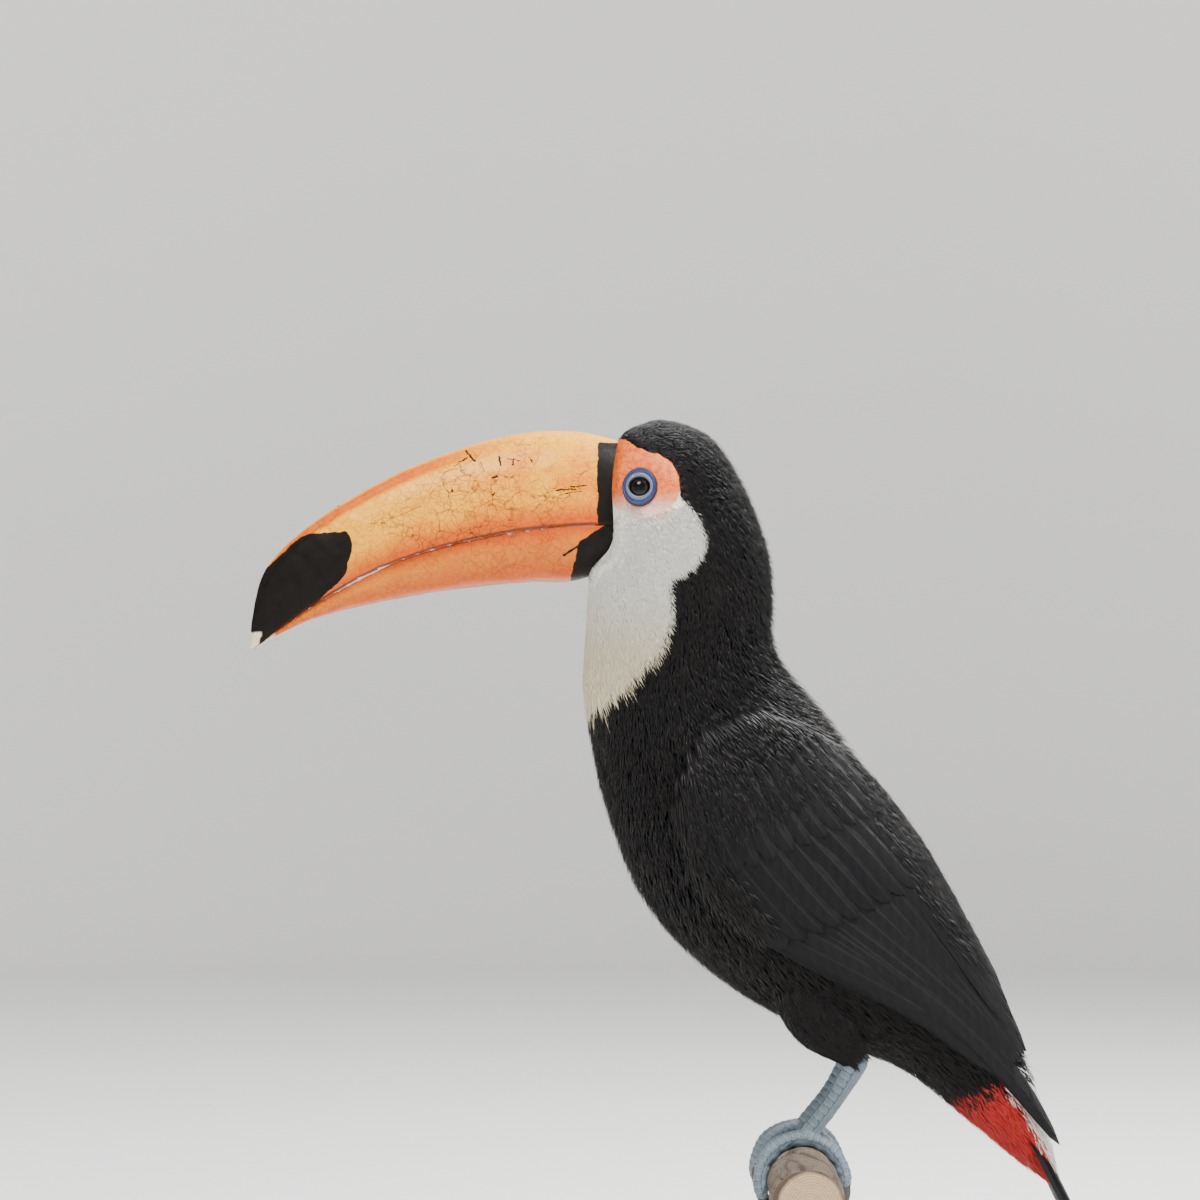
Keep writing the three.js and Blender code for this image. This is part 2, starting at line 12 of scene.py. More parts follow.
import bpy
import numpy as np
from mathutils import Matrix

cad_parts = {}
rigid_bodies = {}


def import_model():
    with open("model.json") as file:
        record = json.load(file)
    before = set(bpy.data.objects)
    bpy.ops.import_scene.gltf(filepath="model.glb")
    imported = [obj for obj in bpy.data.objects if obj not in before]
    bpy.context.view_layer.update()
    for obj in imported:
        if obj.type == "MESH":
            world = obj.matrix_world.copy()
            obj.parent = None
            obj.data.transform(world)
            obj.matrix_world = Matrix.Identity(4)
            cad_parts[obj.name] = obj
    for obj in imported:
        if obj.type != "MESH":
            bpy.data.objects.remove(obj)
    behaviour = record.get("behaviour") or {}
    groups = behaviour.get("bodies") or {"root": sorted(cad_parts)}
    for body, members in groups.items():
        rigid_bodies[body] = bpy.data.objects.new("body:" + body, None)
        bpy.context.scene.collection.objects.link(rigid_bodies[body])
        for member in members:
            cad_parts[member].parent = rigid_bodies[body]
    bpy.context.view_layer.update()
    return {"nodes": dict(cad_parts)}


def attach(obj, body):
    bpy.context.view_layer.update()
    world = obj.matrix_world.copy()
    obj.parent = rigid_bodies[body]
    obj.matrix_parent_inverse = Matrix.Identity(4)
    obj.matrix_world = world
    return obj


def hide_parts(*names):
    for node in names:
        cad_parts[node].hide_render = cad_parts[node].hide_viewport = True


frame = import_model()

# %% [markdown]
# ## Tools for surfaces
# Every shape here is a surface: a grid of points worked out with numpy, all at once, and handed to Blender
# in one go. The bird is drawn in millimetres in a frame of its own, which starts midway between the feet.
# Only the last step, when a mesh is made, lifts it onto the branch and turns it into metres.

# %% From numbers to meshes
LIFT = 144.0  # height of the bird's own origin above the floor, in millimetres


def make_piece(name, points, faces, slot, node=None, lift=LIFT, **marks):
    """A mesh object from an (n, 3) array in millimetres and a list of (m, 3) or (m, 4) index arrays. Every
    further argument is an array with one number for each point, kept as a mark that a material can read."""
    points = np.asarray(points, np.float32).reshape(-1, 3)
    placed = (points + np.array([0, 0, lift], np.float32)) / 1000
    faces = [np.asarray(group, np.int32) for group in faces if len(group)]
    corners = np.concatenate([group.ravel() for group in faces])
    sizes = np.concatenate([np.full(len(group), group.shape[1]) for group in faces])
    mesh = bpy.data.meshes.new(name)
    mesh.vertices.add(len(placed))
    mesh.vertices.foreach_set("co", placed.ravel())
    mesh.loops.add(len(corners))
    mesh.loops.foreach_set("vertex_index", corners)
    mesh.polygons.add(len(sizes))
    mesh.polygons.foreach_set("loop_start", np.concatenate([[0], np.cumsum(sizes)[:-1]]).astype(np.int32))
    mesh.update(calc_edges=True)
    mesh.polygons.foreach_set("use_smooth", np.full(len(sizes), True))
    for mark, values in marks.items():
        keep_mark(mesh, mark, values)
    return settle(bpy.data.objects.new(name, mesh), node)


def keep_mark(mesh, mark, values):
    """Keeps one number for each point of a mesh."""
    layer = mesh.attributes.new(mark, "FLOAT", "POINT")
    layer.data.foreach_set("value", np.asarray(values, np.float32).ravel())


def settle(piece, node=None):
    """Puts a piece in the scene, riding on the one rigid body, in place of the solids it stands for."""
    bpy.context.scene.collection.objects.link(piece)
    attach(piece, "root")
    if node:
        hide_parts(*([node] if isinstance(node, str) else node))
    return piece


# %% Faces of grids and tubes
def grid_faces(rows, columns):
    """The quads of a grid whose points run along the rows, and whose last column joins the first."""
    r, c = np.meshgrid(np.arange(rows - 1), np.arange(columns), indexing="ij")
    a = r * columns + c
    b = r * columns + (c + 1) % columns
    return np.stack([a, b, b + columns, a + columns], -1).reshape(-1, 4)


def closed_tube(rings):
    """Points and faces of a tube over rings (rows, columns, 3), with both ends drawn in to a point."""
    rows, columns, _ = rings.shape
    ends = rings[[0, -1]].mean(axis=1)
    points = np.concatenate([rings.reshape(-1, 3), ends])
    around = np.arange(columns)
    after = (around + 1) % columns
    first, last = rows * columns, rows * columns + 1
    head = np.stack([after, around, np.full(columns, first)], -1)
    base = (rows - 1) * columns
    foot = np.stack([base + around, base + after, np.full(columns, last)], -1)
    return points, [grid_faces(rows, columns), head, foot]


def outward(points, faces):
    """The same faces, all turned round if they enclose a negative volume, so that they point outwards."""
    p = np.asarray(points, float).reshape(-1, 3)
    fan = np.concatenate([group[:, [0, i, i + 1]] for group in faces for i in range(1, group.shape[1] - 1)])
    a, b, c = p[fan[:, 0]], p[fan[:, 1]], p[fan[:, 2]]
    if np.einsum("ij,ij->i", a, np.cross(b, c)).sum() > 0:
        return faces
    return [group[:, ::-1] for group in faces]


# %% Smooth steps and smooth lines
def ease(value, low, high):
    """0 below low, 1 above high, and a smooth S between them."""
    t = np.clip((np.asarray(value, float) - low) / (high - low), 0, 1)
    return t * t * (3 - 2 * t)


def through(stations, s):
    """A smooth line through stations numbered from 0: between two of them a cubic, whose slope at each one
    is half the step between its neighbours, and at the ends the step to the next."""
    p = np.asarray(stations, float)
    p = p.reshape(len(p), -1)
    slope = np.gradient(p, axis=0)
    s = np.clip(np.asarray(s, float), 0, len(p) - 1)
    i = np.minimum(s.astype(int), len(p) - 2)
    t = (s - i)[..., None]
    rise = p[i + 1] - p[i]
    return p[i] + t * slope[i] + t**2 * (3 * rise - 2 * slope[i] - slope[i + 1]) + t**3 * (
        slope[i] + slope[i + 1] - 2 * rise
    )


# %% [markdown]
# ## Materials written as sums
# A material is a small sum over the surface: how red, how rough, how bumpy. A node tree says the same with
# boxes and wires, which soon can't be read. So a socket is wrapped in a class that knows plus, minus and
# times, and a line of Python makes the boxes.


# %% A socket that can do sums
class Value:
    """A number, colour or direction that varies over a surface. Sums on it add the nodes for them."""

    def __init__(self, finish, socket):
        self.finish = finish
        self.socket = socket

    def _with(self, operation, left, right):
        """Colours meet in a Mix node, directions in Vector Math, and numbers in Math."""
        kinds = {v.socket.type for v in (left, right) if isinstance(v, Value)}
        if "RGBA" in kinds:
            settings = {"data_type": "RGBA", "blend_type": operation}
            left, right = [(*v[:3], 1) if isinstance(v, tuple) else v for v in (left, right)]
            return self.finish.node("ShaderNodeMix", settings, {0: 1.0, 6: left, 7: right}, output=2)
        if "VECTOR" in kinds:
            return self.finish.node("ShaderNodeVectorMath", {"operation": operation}, {0: left, 1: right})
        return self.finish.node("ShaderNodeMath", {"operation": operation}, {0: left, 1: right})

    def __add__(self, other):
        return self._with("ADD", self, other)

    def __radd__(self, other):
        return self._with("ADD", other, self)

    def __sub__(self, other):
        return self._with("SUBTRACT", self, other)

    def __rsub__(self, other):
        return self._with("SUBTRACT", other, self)

    def __mul__(self, other):
        return self._with("MULTIPLY", self, other)

    def __rmul__(self, other):
        return self._with("MULTIPLY", other, self)

    def math(self, operation, other=0.0):
        """Any other operation of a Math node, such as SINE, ABSOLUTE or MINIMUM."""
        return self._with(operation, self, other)


# %% A material in the making
class Finish:
    """A material in the making: its own node tree, and the few nodes that these finishes are built from."""

    def __init__(self, name):
        self.material = bpy.data.materials.new(name)
        self.material.use_nodes = True
        self.tree = self.material.node_tree
        self.tree.nodes.clear()

    def node(self, kind, settings=None, sockets=None, output=0):
        """Adds a node: first its settings, since they can change its sockets, then values and links."""
        made = self.tree.nodes.new(kind)
        for name, value in (settings or {}).items():
            setattr(made, name, value)
        for key, value in (sockets or {}).items():
            if isinstance(value, Value):
                self.tree.links.new(value.socket, made.inputs[key])
            elif isinstance(value, tuple) and made.inputs[key].type == "RGBA":
                made.inputs[key].default_value = (*value[:3], 1)
            elif isinstance(value, (int, float)) and made.inputs[key].type == "VECTOR":
                made.inputs[key].default_value = (value, value, value)
            else:
                made.inputs[key].default_value = value
        return None if output is None else Value(self, made.outputs[output])

    def place(self):
        """Where on the object a point is, in metres."""
        return self.node("ShaderNodeTexCoord", output="Object")

    def mark(self, name):
        """A number that the piece keeps for each of its points."""
        return self.node("ShaderNodeAttribute", {"attribute_name": name}, output="Fac")

    def part(self, value, axis):
        """One of the three numbers of a direction: 0, 1 or 2."""
        return self.node("ShaderNodeSeparateXYZ", None, {0: value}, output=axis)

    def noise(self, where, scale, detail=3.0, roughness=0.55):
        """Cloudy noise from 0 to 1, scale cells to a metre."""
        return self.node("ShaderNodeTexNoise", None,
                         {"Vector": where, "Scale": scale, "Detail": detail, "Roughness": roughness})

    def cells(self, where, scale, feature="F1"):
        """The distance to the nearest of many scattered points, or to the border between two of them."""
        return self.node("ShaderNodeTexVoronoi", {"feature": feature}, {"Vector": where, "Scale": scale})

    def ease(self, value, low, high):
        """0 below low, 1 above high, and a smooth S between them."""
        return self.node("ShaderNodeMapRange", {"interpolation_type": "SMOOTHSTEP"},
                         {"Value": value, "From Min": low, "From Max": high})

    def mix(self, share, first, second):
        """Goes from the first colour to the second as share goes from 0 to 1."""
        return self.node("ShaderNodeMix", {"data_type": "RGBA"}, {0: share, 6: first, 7: second}, output=2)

    def stretch(self, where, scale):
        """The same place, with each axis stretched, so that a pattern is longer one way than another."""
        return self.node("ShaderNodeMapping", None, {"Vector": where, "Scale": scale})

    def bent(self, where, scale, size):
        """The same place pushed about by noise, by up to half of size metres, which bends lines."""
        push = self.node("ShaderNodeTexNoise", None, {"Vector": where, "Scale": scale}, output=1)
        push = self.node("ShaderNodeVectorMath", {"operation": "MULTIPLY_ADD"},
                         {0: push, 1: (size,) * 3, 2: (-size / 2,) * 3})
        return self.node("ShaderNodeVectorMath", {"operation": "ADD"}, {0: where, 1: push})

    def streak(self, flat, start, end, half):
        """1 on a thin line between two points of the side view, given in the bird's millimetres."""
        start = np.array([start[0], 0, start[1] + LIFT]) / 1000
        way = np.array([end[0], 0, end[1] + LIFT]) / 1000 - start
        vector = "ShaderNodeVectorMath"
        off = self.node(vector, {"operation": "SUBTRACT"}, {0: flat, 1: tuple(start)})
        share = self.node(vector, {"operation": "DOT_PRODUCT"},
                          {0: off, 1: tuple(way / (way @ way))}, output=1)
        share = self.node("ShaderNodeClamp", None, {"Value": share})
        near = self.node(vector, {"operation": "SCALE"}, {0: tuple(way), "Scale": share})
        away = self.node(vector, {"operation": "DISTANCE"}, {0: off, 1: near}, output=1)
        return self.ease(away, half / 1000, half / 2500)

    def surface(self, colour, roughness, height=None, depth=0.0002, strength=1.0, **constants):
        """The last node: the surface itself. height is a bump, 1 being depth metres proud."""
        sockets = {"Base Color": colour, "Roughness": roughness}
        if height is not None:
            sockets["Normal"] = self.node("ShaderNodeBump", None,
                                          {"Strength": strength, "Distance": depth, "Height": height})
        names = {"coat": "Coat Weight", "coat_roughness": "Coat Roughness", "metal": "Metallic",
                 "specular": "Specular IOR Level"}
        sockets.update({names[key]: value for key, value in constants.items()})
        shader = self.node("ShaderNodeBsdfPrincipled", None, sockets)
        self.node("ShaderNodeOutputMaterial", None, {"Surface": shader}, output=None)
        return self.material


def coat_with(piece, material):
    """Gives a piece one material all over."""
    piece.data.materials.clear()
    piece.data.materials.append(material)


# %% [markdown]
# ## The studio
# The bird is seen square from its left side, level with its breast and from far off through a long lens, so
# that its outline is all but flat. The floor turns up into the wall behind in one wide curve, which leaves
# no edge for the eye to catch on. A large soft lamp above the bill makes the form, and a weak one fills its
# shade. Two more, above the back and behind the bird, light the edges of black feathers that would sink
# into each other without them, and four light the wall.

# %% Camera
FRAME_WIDTH = 534.0  # millimetres across the view, at the bird
VIEW_CENTRE = (-89.0, 234.0)  # x and z in the bird's own frame

camera_data = bpy.data.cameras.new("camera")
camera_data.lens = 150
camera_data.sensor_width = 36
camera_data.clip_end = 50
camera = bpy.data.objects.new("camera", camera_data)
away = FRAME_WIDTH / 1000 * camera_data.lens / camera_data.sensor_width
camera.location = (VIEW_CENTRE[0] / 1000, -away, (VIEW_CENTRE[1] + LIFT) / 1000)
camera.rotation_euler = (math.pi / 2, 0, 0)
bpy.context.scene.collection.objects.link(camera)
bpy.context.scene.camera = camera
print("camera", round(away, 3), "m away")

# %% The floor
def studio_floor(rows=70, columns=96):
    """A round floor whose rim turns up into a wall: its profile runs straight for 3 m, bends through a
    quarter circle, and runs up; each point of the profile is carried round the middle."""
    bend = np.linspace(0, np.pi / 2, rows - 30)
    away = np.concatenate([np.linspace(0.001, 2.9, 20), 2.9 + 1.0 * np.sin(bend), np.full(10, 3.9)])
    level = np.concatenate([np.zeros(20), 1.0 - 1.0 * np.cos(bend), np.linspace(1.02, 1.3, 10)])
    turn = np.linspace(0, 2 * np.pi, columns, endpoint=False)
    return np.stack([away[:, None] * np.cos(turn), away[:, None] * np.sin(turn),
                     level[:, None] + 0 * turn], -1)


sweep = studio_floor()
floor_mesh = bpy.data.meshes.new("studio_floor")
floor_mesh.from_pydata(sweep.reshape(-1, 3).tolist(), [], grid_faces(70, 96)[:, ::-1].tolist())
floor_mesh.polygons.foreach_set("use_smooth", [True] * len(floor_mesh.polygons))
floor = bpy.data.objects.new("studio_floor", floor_mesh)
bpy.context.scene.collection.objects.link(floor)
paper = Finish("studio_paper")
coat_with(floor, paper.surface((0.80, 0.79, 0.77), 0.9))
print("floor:", len(floor_mesh.polygons), "faces")


# %% The lamps
def lamp(name, place, size, watts, colour=(1, 1, 1), aim=(-0.04, 0, 0.38)):
    """A square area lamp turned towards the bird, and out of the camera's sight."""
    data = bpy.data.lights.new(name, "AREA")
    data.size = size
    data.energy = watts
    data.color = colour
    made = bpy.data.objects.new(name, data)
    made.location = place
    facing = np.array(aim) - np.array(place)
    made.rotation_euler = (math.acos(-facing[2] / np.linalg.norm(facing)), 0,
                           math.atan2(facing[1], facing[0]) - math.pi / 2)
    made.visible_camera = False
    bpy.context.scene.collection.objects.link(made)


lamp("key_lamp", (-0.75, -1.25, 1.9), 0.7, 38, (1, 0.985, 0.96))
lamp("crown_lamp", (0.62, -0.42, 1.75), 0.34, 62)
lamp("fill_lamp", (1.6, -1.9, 0.9), 1.6, 5, (0.95, 0.97, 1))
lamp("edge_lamp", (0.75, 0.95, 1.6), 0.45, 60)
for number, (x, y) in enumerate([(1, 0), (0, 1), (-1, 0), (0, -1)]):
    lamp("wall_lamp_" + str(number), (0.3 * x, 0.3 * y, 2.2), 0.9, 66, aim=(4 * x, 4 * y, 2.3))
world = bpy.data.worlds.new("studio_air")
world.use_nodes = True
world.node_tree.nodes["Background"].inputs["Color"].default_value = (0.95, 0.97, 1, 1)
world.node_tree.nodes["Background"].inputs["Strength"].default_value = 0.26
bpy.context.scene.world = world
print("lamps:", len(bpy.data.lights))

# %% [markdown]
# ## The shape of the body
# Head, neck and trunk are one shape: a row of sections that fan round the throat and then follow the spine
# down to the tail. Each is named by the place it cuts. It runs from a point on the back of the outline to a
# point on the front, and it is so wide. These are the sections that the solids were made from, so whatever
# is laid on this shape fits them.

# %% Sections of the body
BODY = np.array([  # back x and z, front x and z, half its width, how far its widest level is off the middle
    [-86, 303.5, -94.5, 244, 21.3, 0],  # bill root
    [-72.1, 312.3, -93.9, 241.1, 24.2, 0.05],  # brow
    [-60.1, 315.2, -94.3, 237.6, 26.6, 0.1],  # crown
    [-41.8, 308.8, -94.8, 232.7, 29, 0.13],  # hind crown
    [-27.6, 290.1, -95.2, 226.4, 30.6, 0.12],  # back of the head
    [-19.1, 271.4, -95.7, 218.4, 31.4, 0.09],  # nape
    [-12.9, 251.8, -96.6, 207.3, 32, 0.06],  # upper neck
    [-11.6, 234, -97, 194, 32.6, 0.02],  # neck
    [-11.4, 217, -95.2, 179.7, 35.6, 0.02],  # foot of the neck
    [-4.4, 201.5, -92.6, 164.1, 40.5, 0.04],  # shoulders
    [12, 182.5, -88.6, 145.9, 45.5, 0.05],  # mantle
    [25.6, 163.2, -82.3, 126.3, 48.5, 0.04],  # upper back
    [39.2, 144.4, -73.4, 105, 49.8, 0.02],  # back
    [52.4, 125.4, -58.7, 84.9, 49, 0],  # breast
    [64.3, 105.3, -39.2, 67.1, 46, 0],  # belly
    [75, 84.6, -15.6, 51.6, 41, 0],  # lower back
    [86, 61.8, 13.4, 38.2, 33.5, 0],  # rump
    [95.8, 40.6, 46.7, 23.7, 26, 0],  # vent
    [103.5, 22, 75, 1.6, 19.5, 0],  # tail root
    [109.6, 3, 94, -14, 15, 0],  # tail coverts
    [114, -16, 108, -24, 8, 0],  # ends of the coverts
])
COVER = np.array([  # the same for the surface that the folded wings fill
    [-3.4, 203, -99, 161, 45.5, 0.04],  # shoulder
    [13.8, 184.2, -94.6, 142, 51, 0.04],  # scapulars
    [28.9, 165.5, -88, 122, 54.5, 0.04],  # wing coverts
    [42.7, 146.8, -79, 100.5, 56, 0.02],  # middle of the wing
    [56.1, 128.1, -64, 80, 55, 0],  # secondaries
    [68.1, 107.8, -44, 62, 52, 0],  # tertials
    [79.6, 86.8, -19, 46, 47, 0],  # tips of the tertials
    [91.5, 64.6, 10, 31, 40.5, 0],  # side of the rump
    [102.5, 42, 42, 14, 33.5, 0],  # side of the tail coverts
    [112, 18, 72, -6, 27.5, 0],  # primaries
    [121, -4, 94, -22, 23, 0],  # wing tip
])


# %% A point on a shape
def wrap(sections, s, turn, out=0.0):
    """A point of a shape: on section s, turn radians round from the back towards the bird's left, and out
    millimetres outside it. Middle of the section + its half-height along the section times cos(turn) + its
    half-width across times sin(turn), the width drawn towards the back or the front by the last column."""
    form = through(sections, s)
    back, front, half, high = form[..., 0:2], form[..., 2:4], form[..., 4], form[..., 5]
    middle = (back + front) / 2
    rise = back - middle
    length = np.linalg.norm(rise, axis=-1)
    level = rise / length[..., None] * ((length + out) * np.cos(turn))[..., None]
    wide = (half + out) * np.sin(turn) * (1 + high * np.cos(turn))
    return np.stack([middle[..., 0] + level[..., 0], -wide, middle[..., 1] + level[..., 1]], -1)


print("sections:", len(BODY), "of the body,", len(COVER), "under the wings")

# %% [markdown]
# ## Markings
# A toco toucan is black with a white throat. Round the eye the face is bare orange skin, which runs into
# white cheeks, and the white bib ends on the breast in a slanting, frayed edge. Skin and feathers have to
# agree on where each colour stops, so the borders are worked out once, from a point's place, and both ask
# the same functions. Seen from the side the white is a round face and a round cheek, melted together, and
# a wedge below them.

# %% Where the colours stop
FACE = {"middle": (-69.5, 284.5), "radii": (15.2, 15.6)}  # bare skin round the eye
BRIDLE = {"middle": (-79.5, 297.5), "radii": (6.0, 7.0)}  # a strip of it runs up along the bill
CHEEK = {"middle": (-65.0, 263.2), "radii": (21.6, 18.6)}
BIB_BACK = -58.8  # where the bib ends on the side of the neck
BIB_FOOT = {"through": (-62.0, 216.3), "slope": 0.84}  # the bib's lower edge falls towards the breast
FACE_EDGE = np.array([  # where the face's feathers end on the bill, from the chin up to the forehead
    [247.0, -93.6], [249.6, -88.0], [253.0, -83.4], [260.0, -81.2], [276.0, -80.8], [292.0, -81.2],
    [309.0, -79.6]])


def oval(points, shape):
    """How far a point is outside an oval in the side view, in millimetres: below 0 inside it."""
    (x, z), (wide, high) = shape["middle"], shape["radii"]
    reach = np.hypot((points[..., 0] - x) / wide, (points[..., 2] - z) / high)
    return (reach - 1) * min(wide, high)


def melt(first, second, width):
    """The smaller of two distances, rounded off where they are nearly alike."""
    share = np.clip(0.5 + 0.5 * (second - first) / width, 0, 1)
    return second + (first - second) * share - width * share * (1 - share)


def outside_bib(points):
    """How far a point is outside the white of the face, cheek and throat."""
    x, z = points[..., 0], points[..., 2]
    (px, pz), slope = BIB_FOOT["through"], BIB_FOOT["slope"]
    foot = ((x - px) * slope - (z - pz)) / math.hypot(slope, 1)
    wedge = -melt(-foot, BIB_BACK + 0.8 * np.sin(z / 4.5) - x, 9.0)
    wedge = np.maximum(wedge, (z - 262) * 0.8)
    face = melt(oval(points, FACE), oval(points, BRIDLE), 5.0)
    return melt(melt(face, oval(points, CHEEK), 5.0), wedge, 1.2)


def outside_bare(points):
    """How far a point is outside the bare skin of the face."""
    return melt(oval(points, FACE), oval(points, BRIDLE), 5.0) - 0.6


def face_share(points):
    """1 on the white face and cheeks, 0 a little way outside them."""
    return 1 - ease(outside_bib(points), 0, 6)


def before_face(points):
    """How far a point lies in front of the edge that the face makes on the bill."""
    edge = np.interp(points[..., 2], FACE_EDGE[:, 0], FACE_EDGE[:, 1], left=-200)
    return edge - points[..., 0]


middles = np.array([[shape["middle"][0], 0, shape["middle"][1]] for shape in (FACE, BRIDLE, CHEEK)])
print("bare face, bridle and cheek lie inside the bib by", -outside_bib(middles).round(1), "mm")

# %% [markdown]
# ## The eye's seat
# The eye sits where the face leans a little forwards. Its place on the body's surface is found by halving,
# and the way the surface faces there by comparing three points close together.

# %% Where the eye sits
EYE = {"x": -71.6, "z": 283.8, "radius": 4.6, "proud": 1.9}


def side_at(x, z):
    """Half the body's width at a place in the side view, by halving until a section passes through it."""
    low, high = 0.5, 4.0
    for _ in range(40):
        s = (low + high) / 2
        back, front = wrap(BODY, s, 0.0)[[0, 2]], wrap(BODY, s, math.pi)[[0, 2]]
        along, to = back - front, np.array([x, z]) - front
        if along[0] * to[1] - along[1] * to[0] < 0:
            low = s
        else:
            high = s
    share = np.linalg.norm(to) / np.linalg.norm(along)
    return -wrap(BODY, s, math.acos(2 * share - 1))[1]


eye_seat = np.array([EYE["x"], -side_at(EYE["x"], EYE["z"]), EYE["z"]])
eye_out = np.array([side_at(EYE["x"] - 1, EYE["z"]) - side_at(EYE["x"] + 1, EYE["z"]), -2,
                    side_at(EYE["x"], EYE["z"] - 1) - side_at(EYE["x"], EYE["z"] + 1)])
eye_out = eye_out / np.linalg.norm(eye_out)
eye_up = np.array([0, 0, 1]) - eye_out[2] * eye_out
eye_up = eye_up / np.linalg.norm(eye_up)
eye_fore = np.cross(eye_out, eye_up)
print("eye at", eye_seat.round(1), "facing", eye_out.round(2), "towards the bill", eye_fore.round(2))


def from_eye(points):
    """Distances from the nearer eye's axis: sideways and upwards in the plane of its ring."""
    near = np.array(points, float)
    near[..., 1] = -np.abs(near[..., 1])
    near = near - eye_seat
    return near @ eye_fore, near @ eye_up


# %% [markdown]
# ## Skin
# One closed skin covers head, neck, trunk and thighs, and the flesh of the folded wings. It could be pulled
# and pushed out of one block, but the parts are simple surfaces already. So each is made on its own, a
# coat's depth inside the solids, and a remesh in cubes of 1.6 mm melts them into one skin, seamless.

# %% Skin of head, neck and trunk
COAT = np.array([1.0, 1.8, 2.4, 2.8, 3.0, 3.2, 3.6, 4.0, 4.6, 5.4, 6.2, 6.6, 6.8, 6.8, 6.6, 6.2, 5.6,
                 5.0, 4.2, 3.4, 2.6])  # how deep the coat is on each section of the body


def coat_depth(s, points):
    """The coat's depth: that of the section, less on the white of the face, and next to nothing on bare
    skin. At the face's edge the skin turns in to meet the bill."""
    depth = through(COAT, s)[..., 0] * (1 - 0.4 * face_share(points))
    depth = depth * (1 - 0.4 * ease(before_face(points), -6, -1))
    bare = 1 - ease(outside_bare(points), -1.5, 2.0)
    return depth * (1 - bare) + 0.25 * bare + 5.0 * ease(before_face(points), -0.6, 4.0)


def skin_body(rows=210, columns=150):
    """The body's shape, sunk by the coat's depth, by the eye's hollow, and well inside the bill's root."""
    s, turn = np.meshgrid(np.linspace(0, len(BODY) - 1, rows),
                          np.linspace(0, 2 * np.pi, columns, endpoint=False), indexing="ij")
    plain = wrap(BODY, s, turn)
    depth = coat_depth(s, plain)
    side, up = from_eye(plain)
    depth = depth + 1.6 * (1 - ease(np.hypot(side / 7.4, up / 8.0), 0.75, 1.05))
    return wrap(BODY, s, turn, -depth)


# %% Flesh of the thighs
KNEE = (-5.0, 20.0, 70.0)
ANKLE = (24.0, 23.0, 30.5)


def tube_path(centres, radii, sides=24):
    """Rings of a round bar along a path (n, 3), each square to it, with a radius for every ring. The first
    point of a ring lies as near as it can to the bird's right."""
    right = np.array([0.0, 1.0, 0.0])
    centres = np.asarray(centres, float)
    ahead = np.gradient(centres, axis=0)
    ahead /= np.linalg.norm(ahead, axis=1, keepdims=True)
    across = right - (ahead @ right)[:, None] * ahead
    across /= np.linalg.norm(across, axis=1, keepdims=True)
    other = np.cross(ahead, across)
    turn = np.linspace(0, 2 * np.pi, sides, endpoint=False)
    radii = np.broadcast_to(np.asarray(radii, float).reshape(len(centres), -1), (len(centres), sides))
    return (centres[:, None] + (np.cos(turn) * radii)[..., None] * across[:, None]
            + (np.sin(turn) * radii)[..., None] * other[:, None])


THIGH_RADII = [13, 14.5, 7.2]  # at the knee, halfway and at the ankle


def thigh_stations(side):
    """The thigh's middle line: the knee inside the flank, a place halfway, and the top of the ankle."""
    knee, ankle = np.array(KNEE) * (1, side, 1), np.array(ANKLE) * (1, side, 1)
    end = ankle + (-1.2, 0, 3.6)
    return [knee, knee * 0.45 + end * 0.55 + (-2, 0, -1), end]


def thigh_rings(side, thinner, rows=30):
    """The thigh's flesh: a bar along its middle line, less a coat that gets shallower at the ankle."""
    s = np.linspace(0, 2, rows)
    radii = through(THIGH_RADII, s)[:, 0] - thinner * ease(np.linspace(0, 1, rows), 1.3, 0.4)
    return tube_path(through(thigh_stations(side), s), radii)


# %% Flesh of the wings
# The wing's upper and lower edge: degrees round the cover from the back, section by section.
WING_TOP = np.array([52, 28, 12, 6, 6, 7, 9, 14, 20, 26, 30.0])
WING_BOTTOM = np.array([86, 110, 120, 123, 121, 115, 107, 97, 85, 70, 52.0])


def wing_flesh(side, rows=60, columns=26):
    """The flesh and quill bases under the wing's feathers: a flat cushion on the wing's patch of the cover,
    that thins out to nothing at its edges."""
    s, share = np.meshgrid(np.linspace(0.35, 7.4, rows), np.linspace(0, 1, columns), indexing="ij")
    low = np.radians(through(WING_TOP, s)[..., 0] + 4)
    high = np.radians(through(WING_BOTTOM, s)[..., 0] - 6)
    turn = low + (high - low) * share
    round_off = (1 - (2 * share - 1) ** 6) * ease(s, 0.2, 1.2) * ease(s, 7.8, 6.0)
    top = wrap(COVER, s, side * turn, -5.2 - 3.5 * (1 - round_off))
    under = wrap(COVER, s, side * turn, np.full(s.shape, -13.0))
    return np.concatenate([top, under[:, ::-1]], axis=1)


shells = [skin_body(), thigh_rings(1, 2.0), thigh_rings(-1, 2.0), wing_flesh(1), wing_flesh(-1)]
print("skin surfaces:", [shell.shape[:2] for shell in shells])

# %% One skin, melted together
VOXEL = 1.6


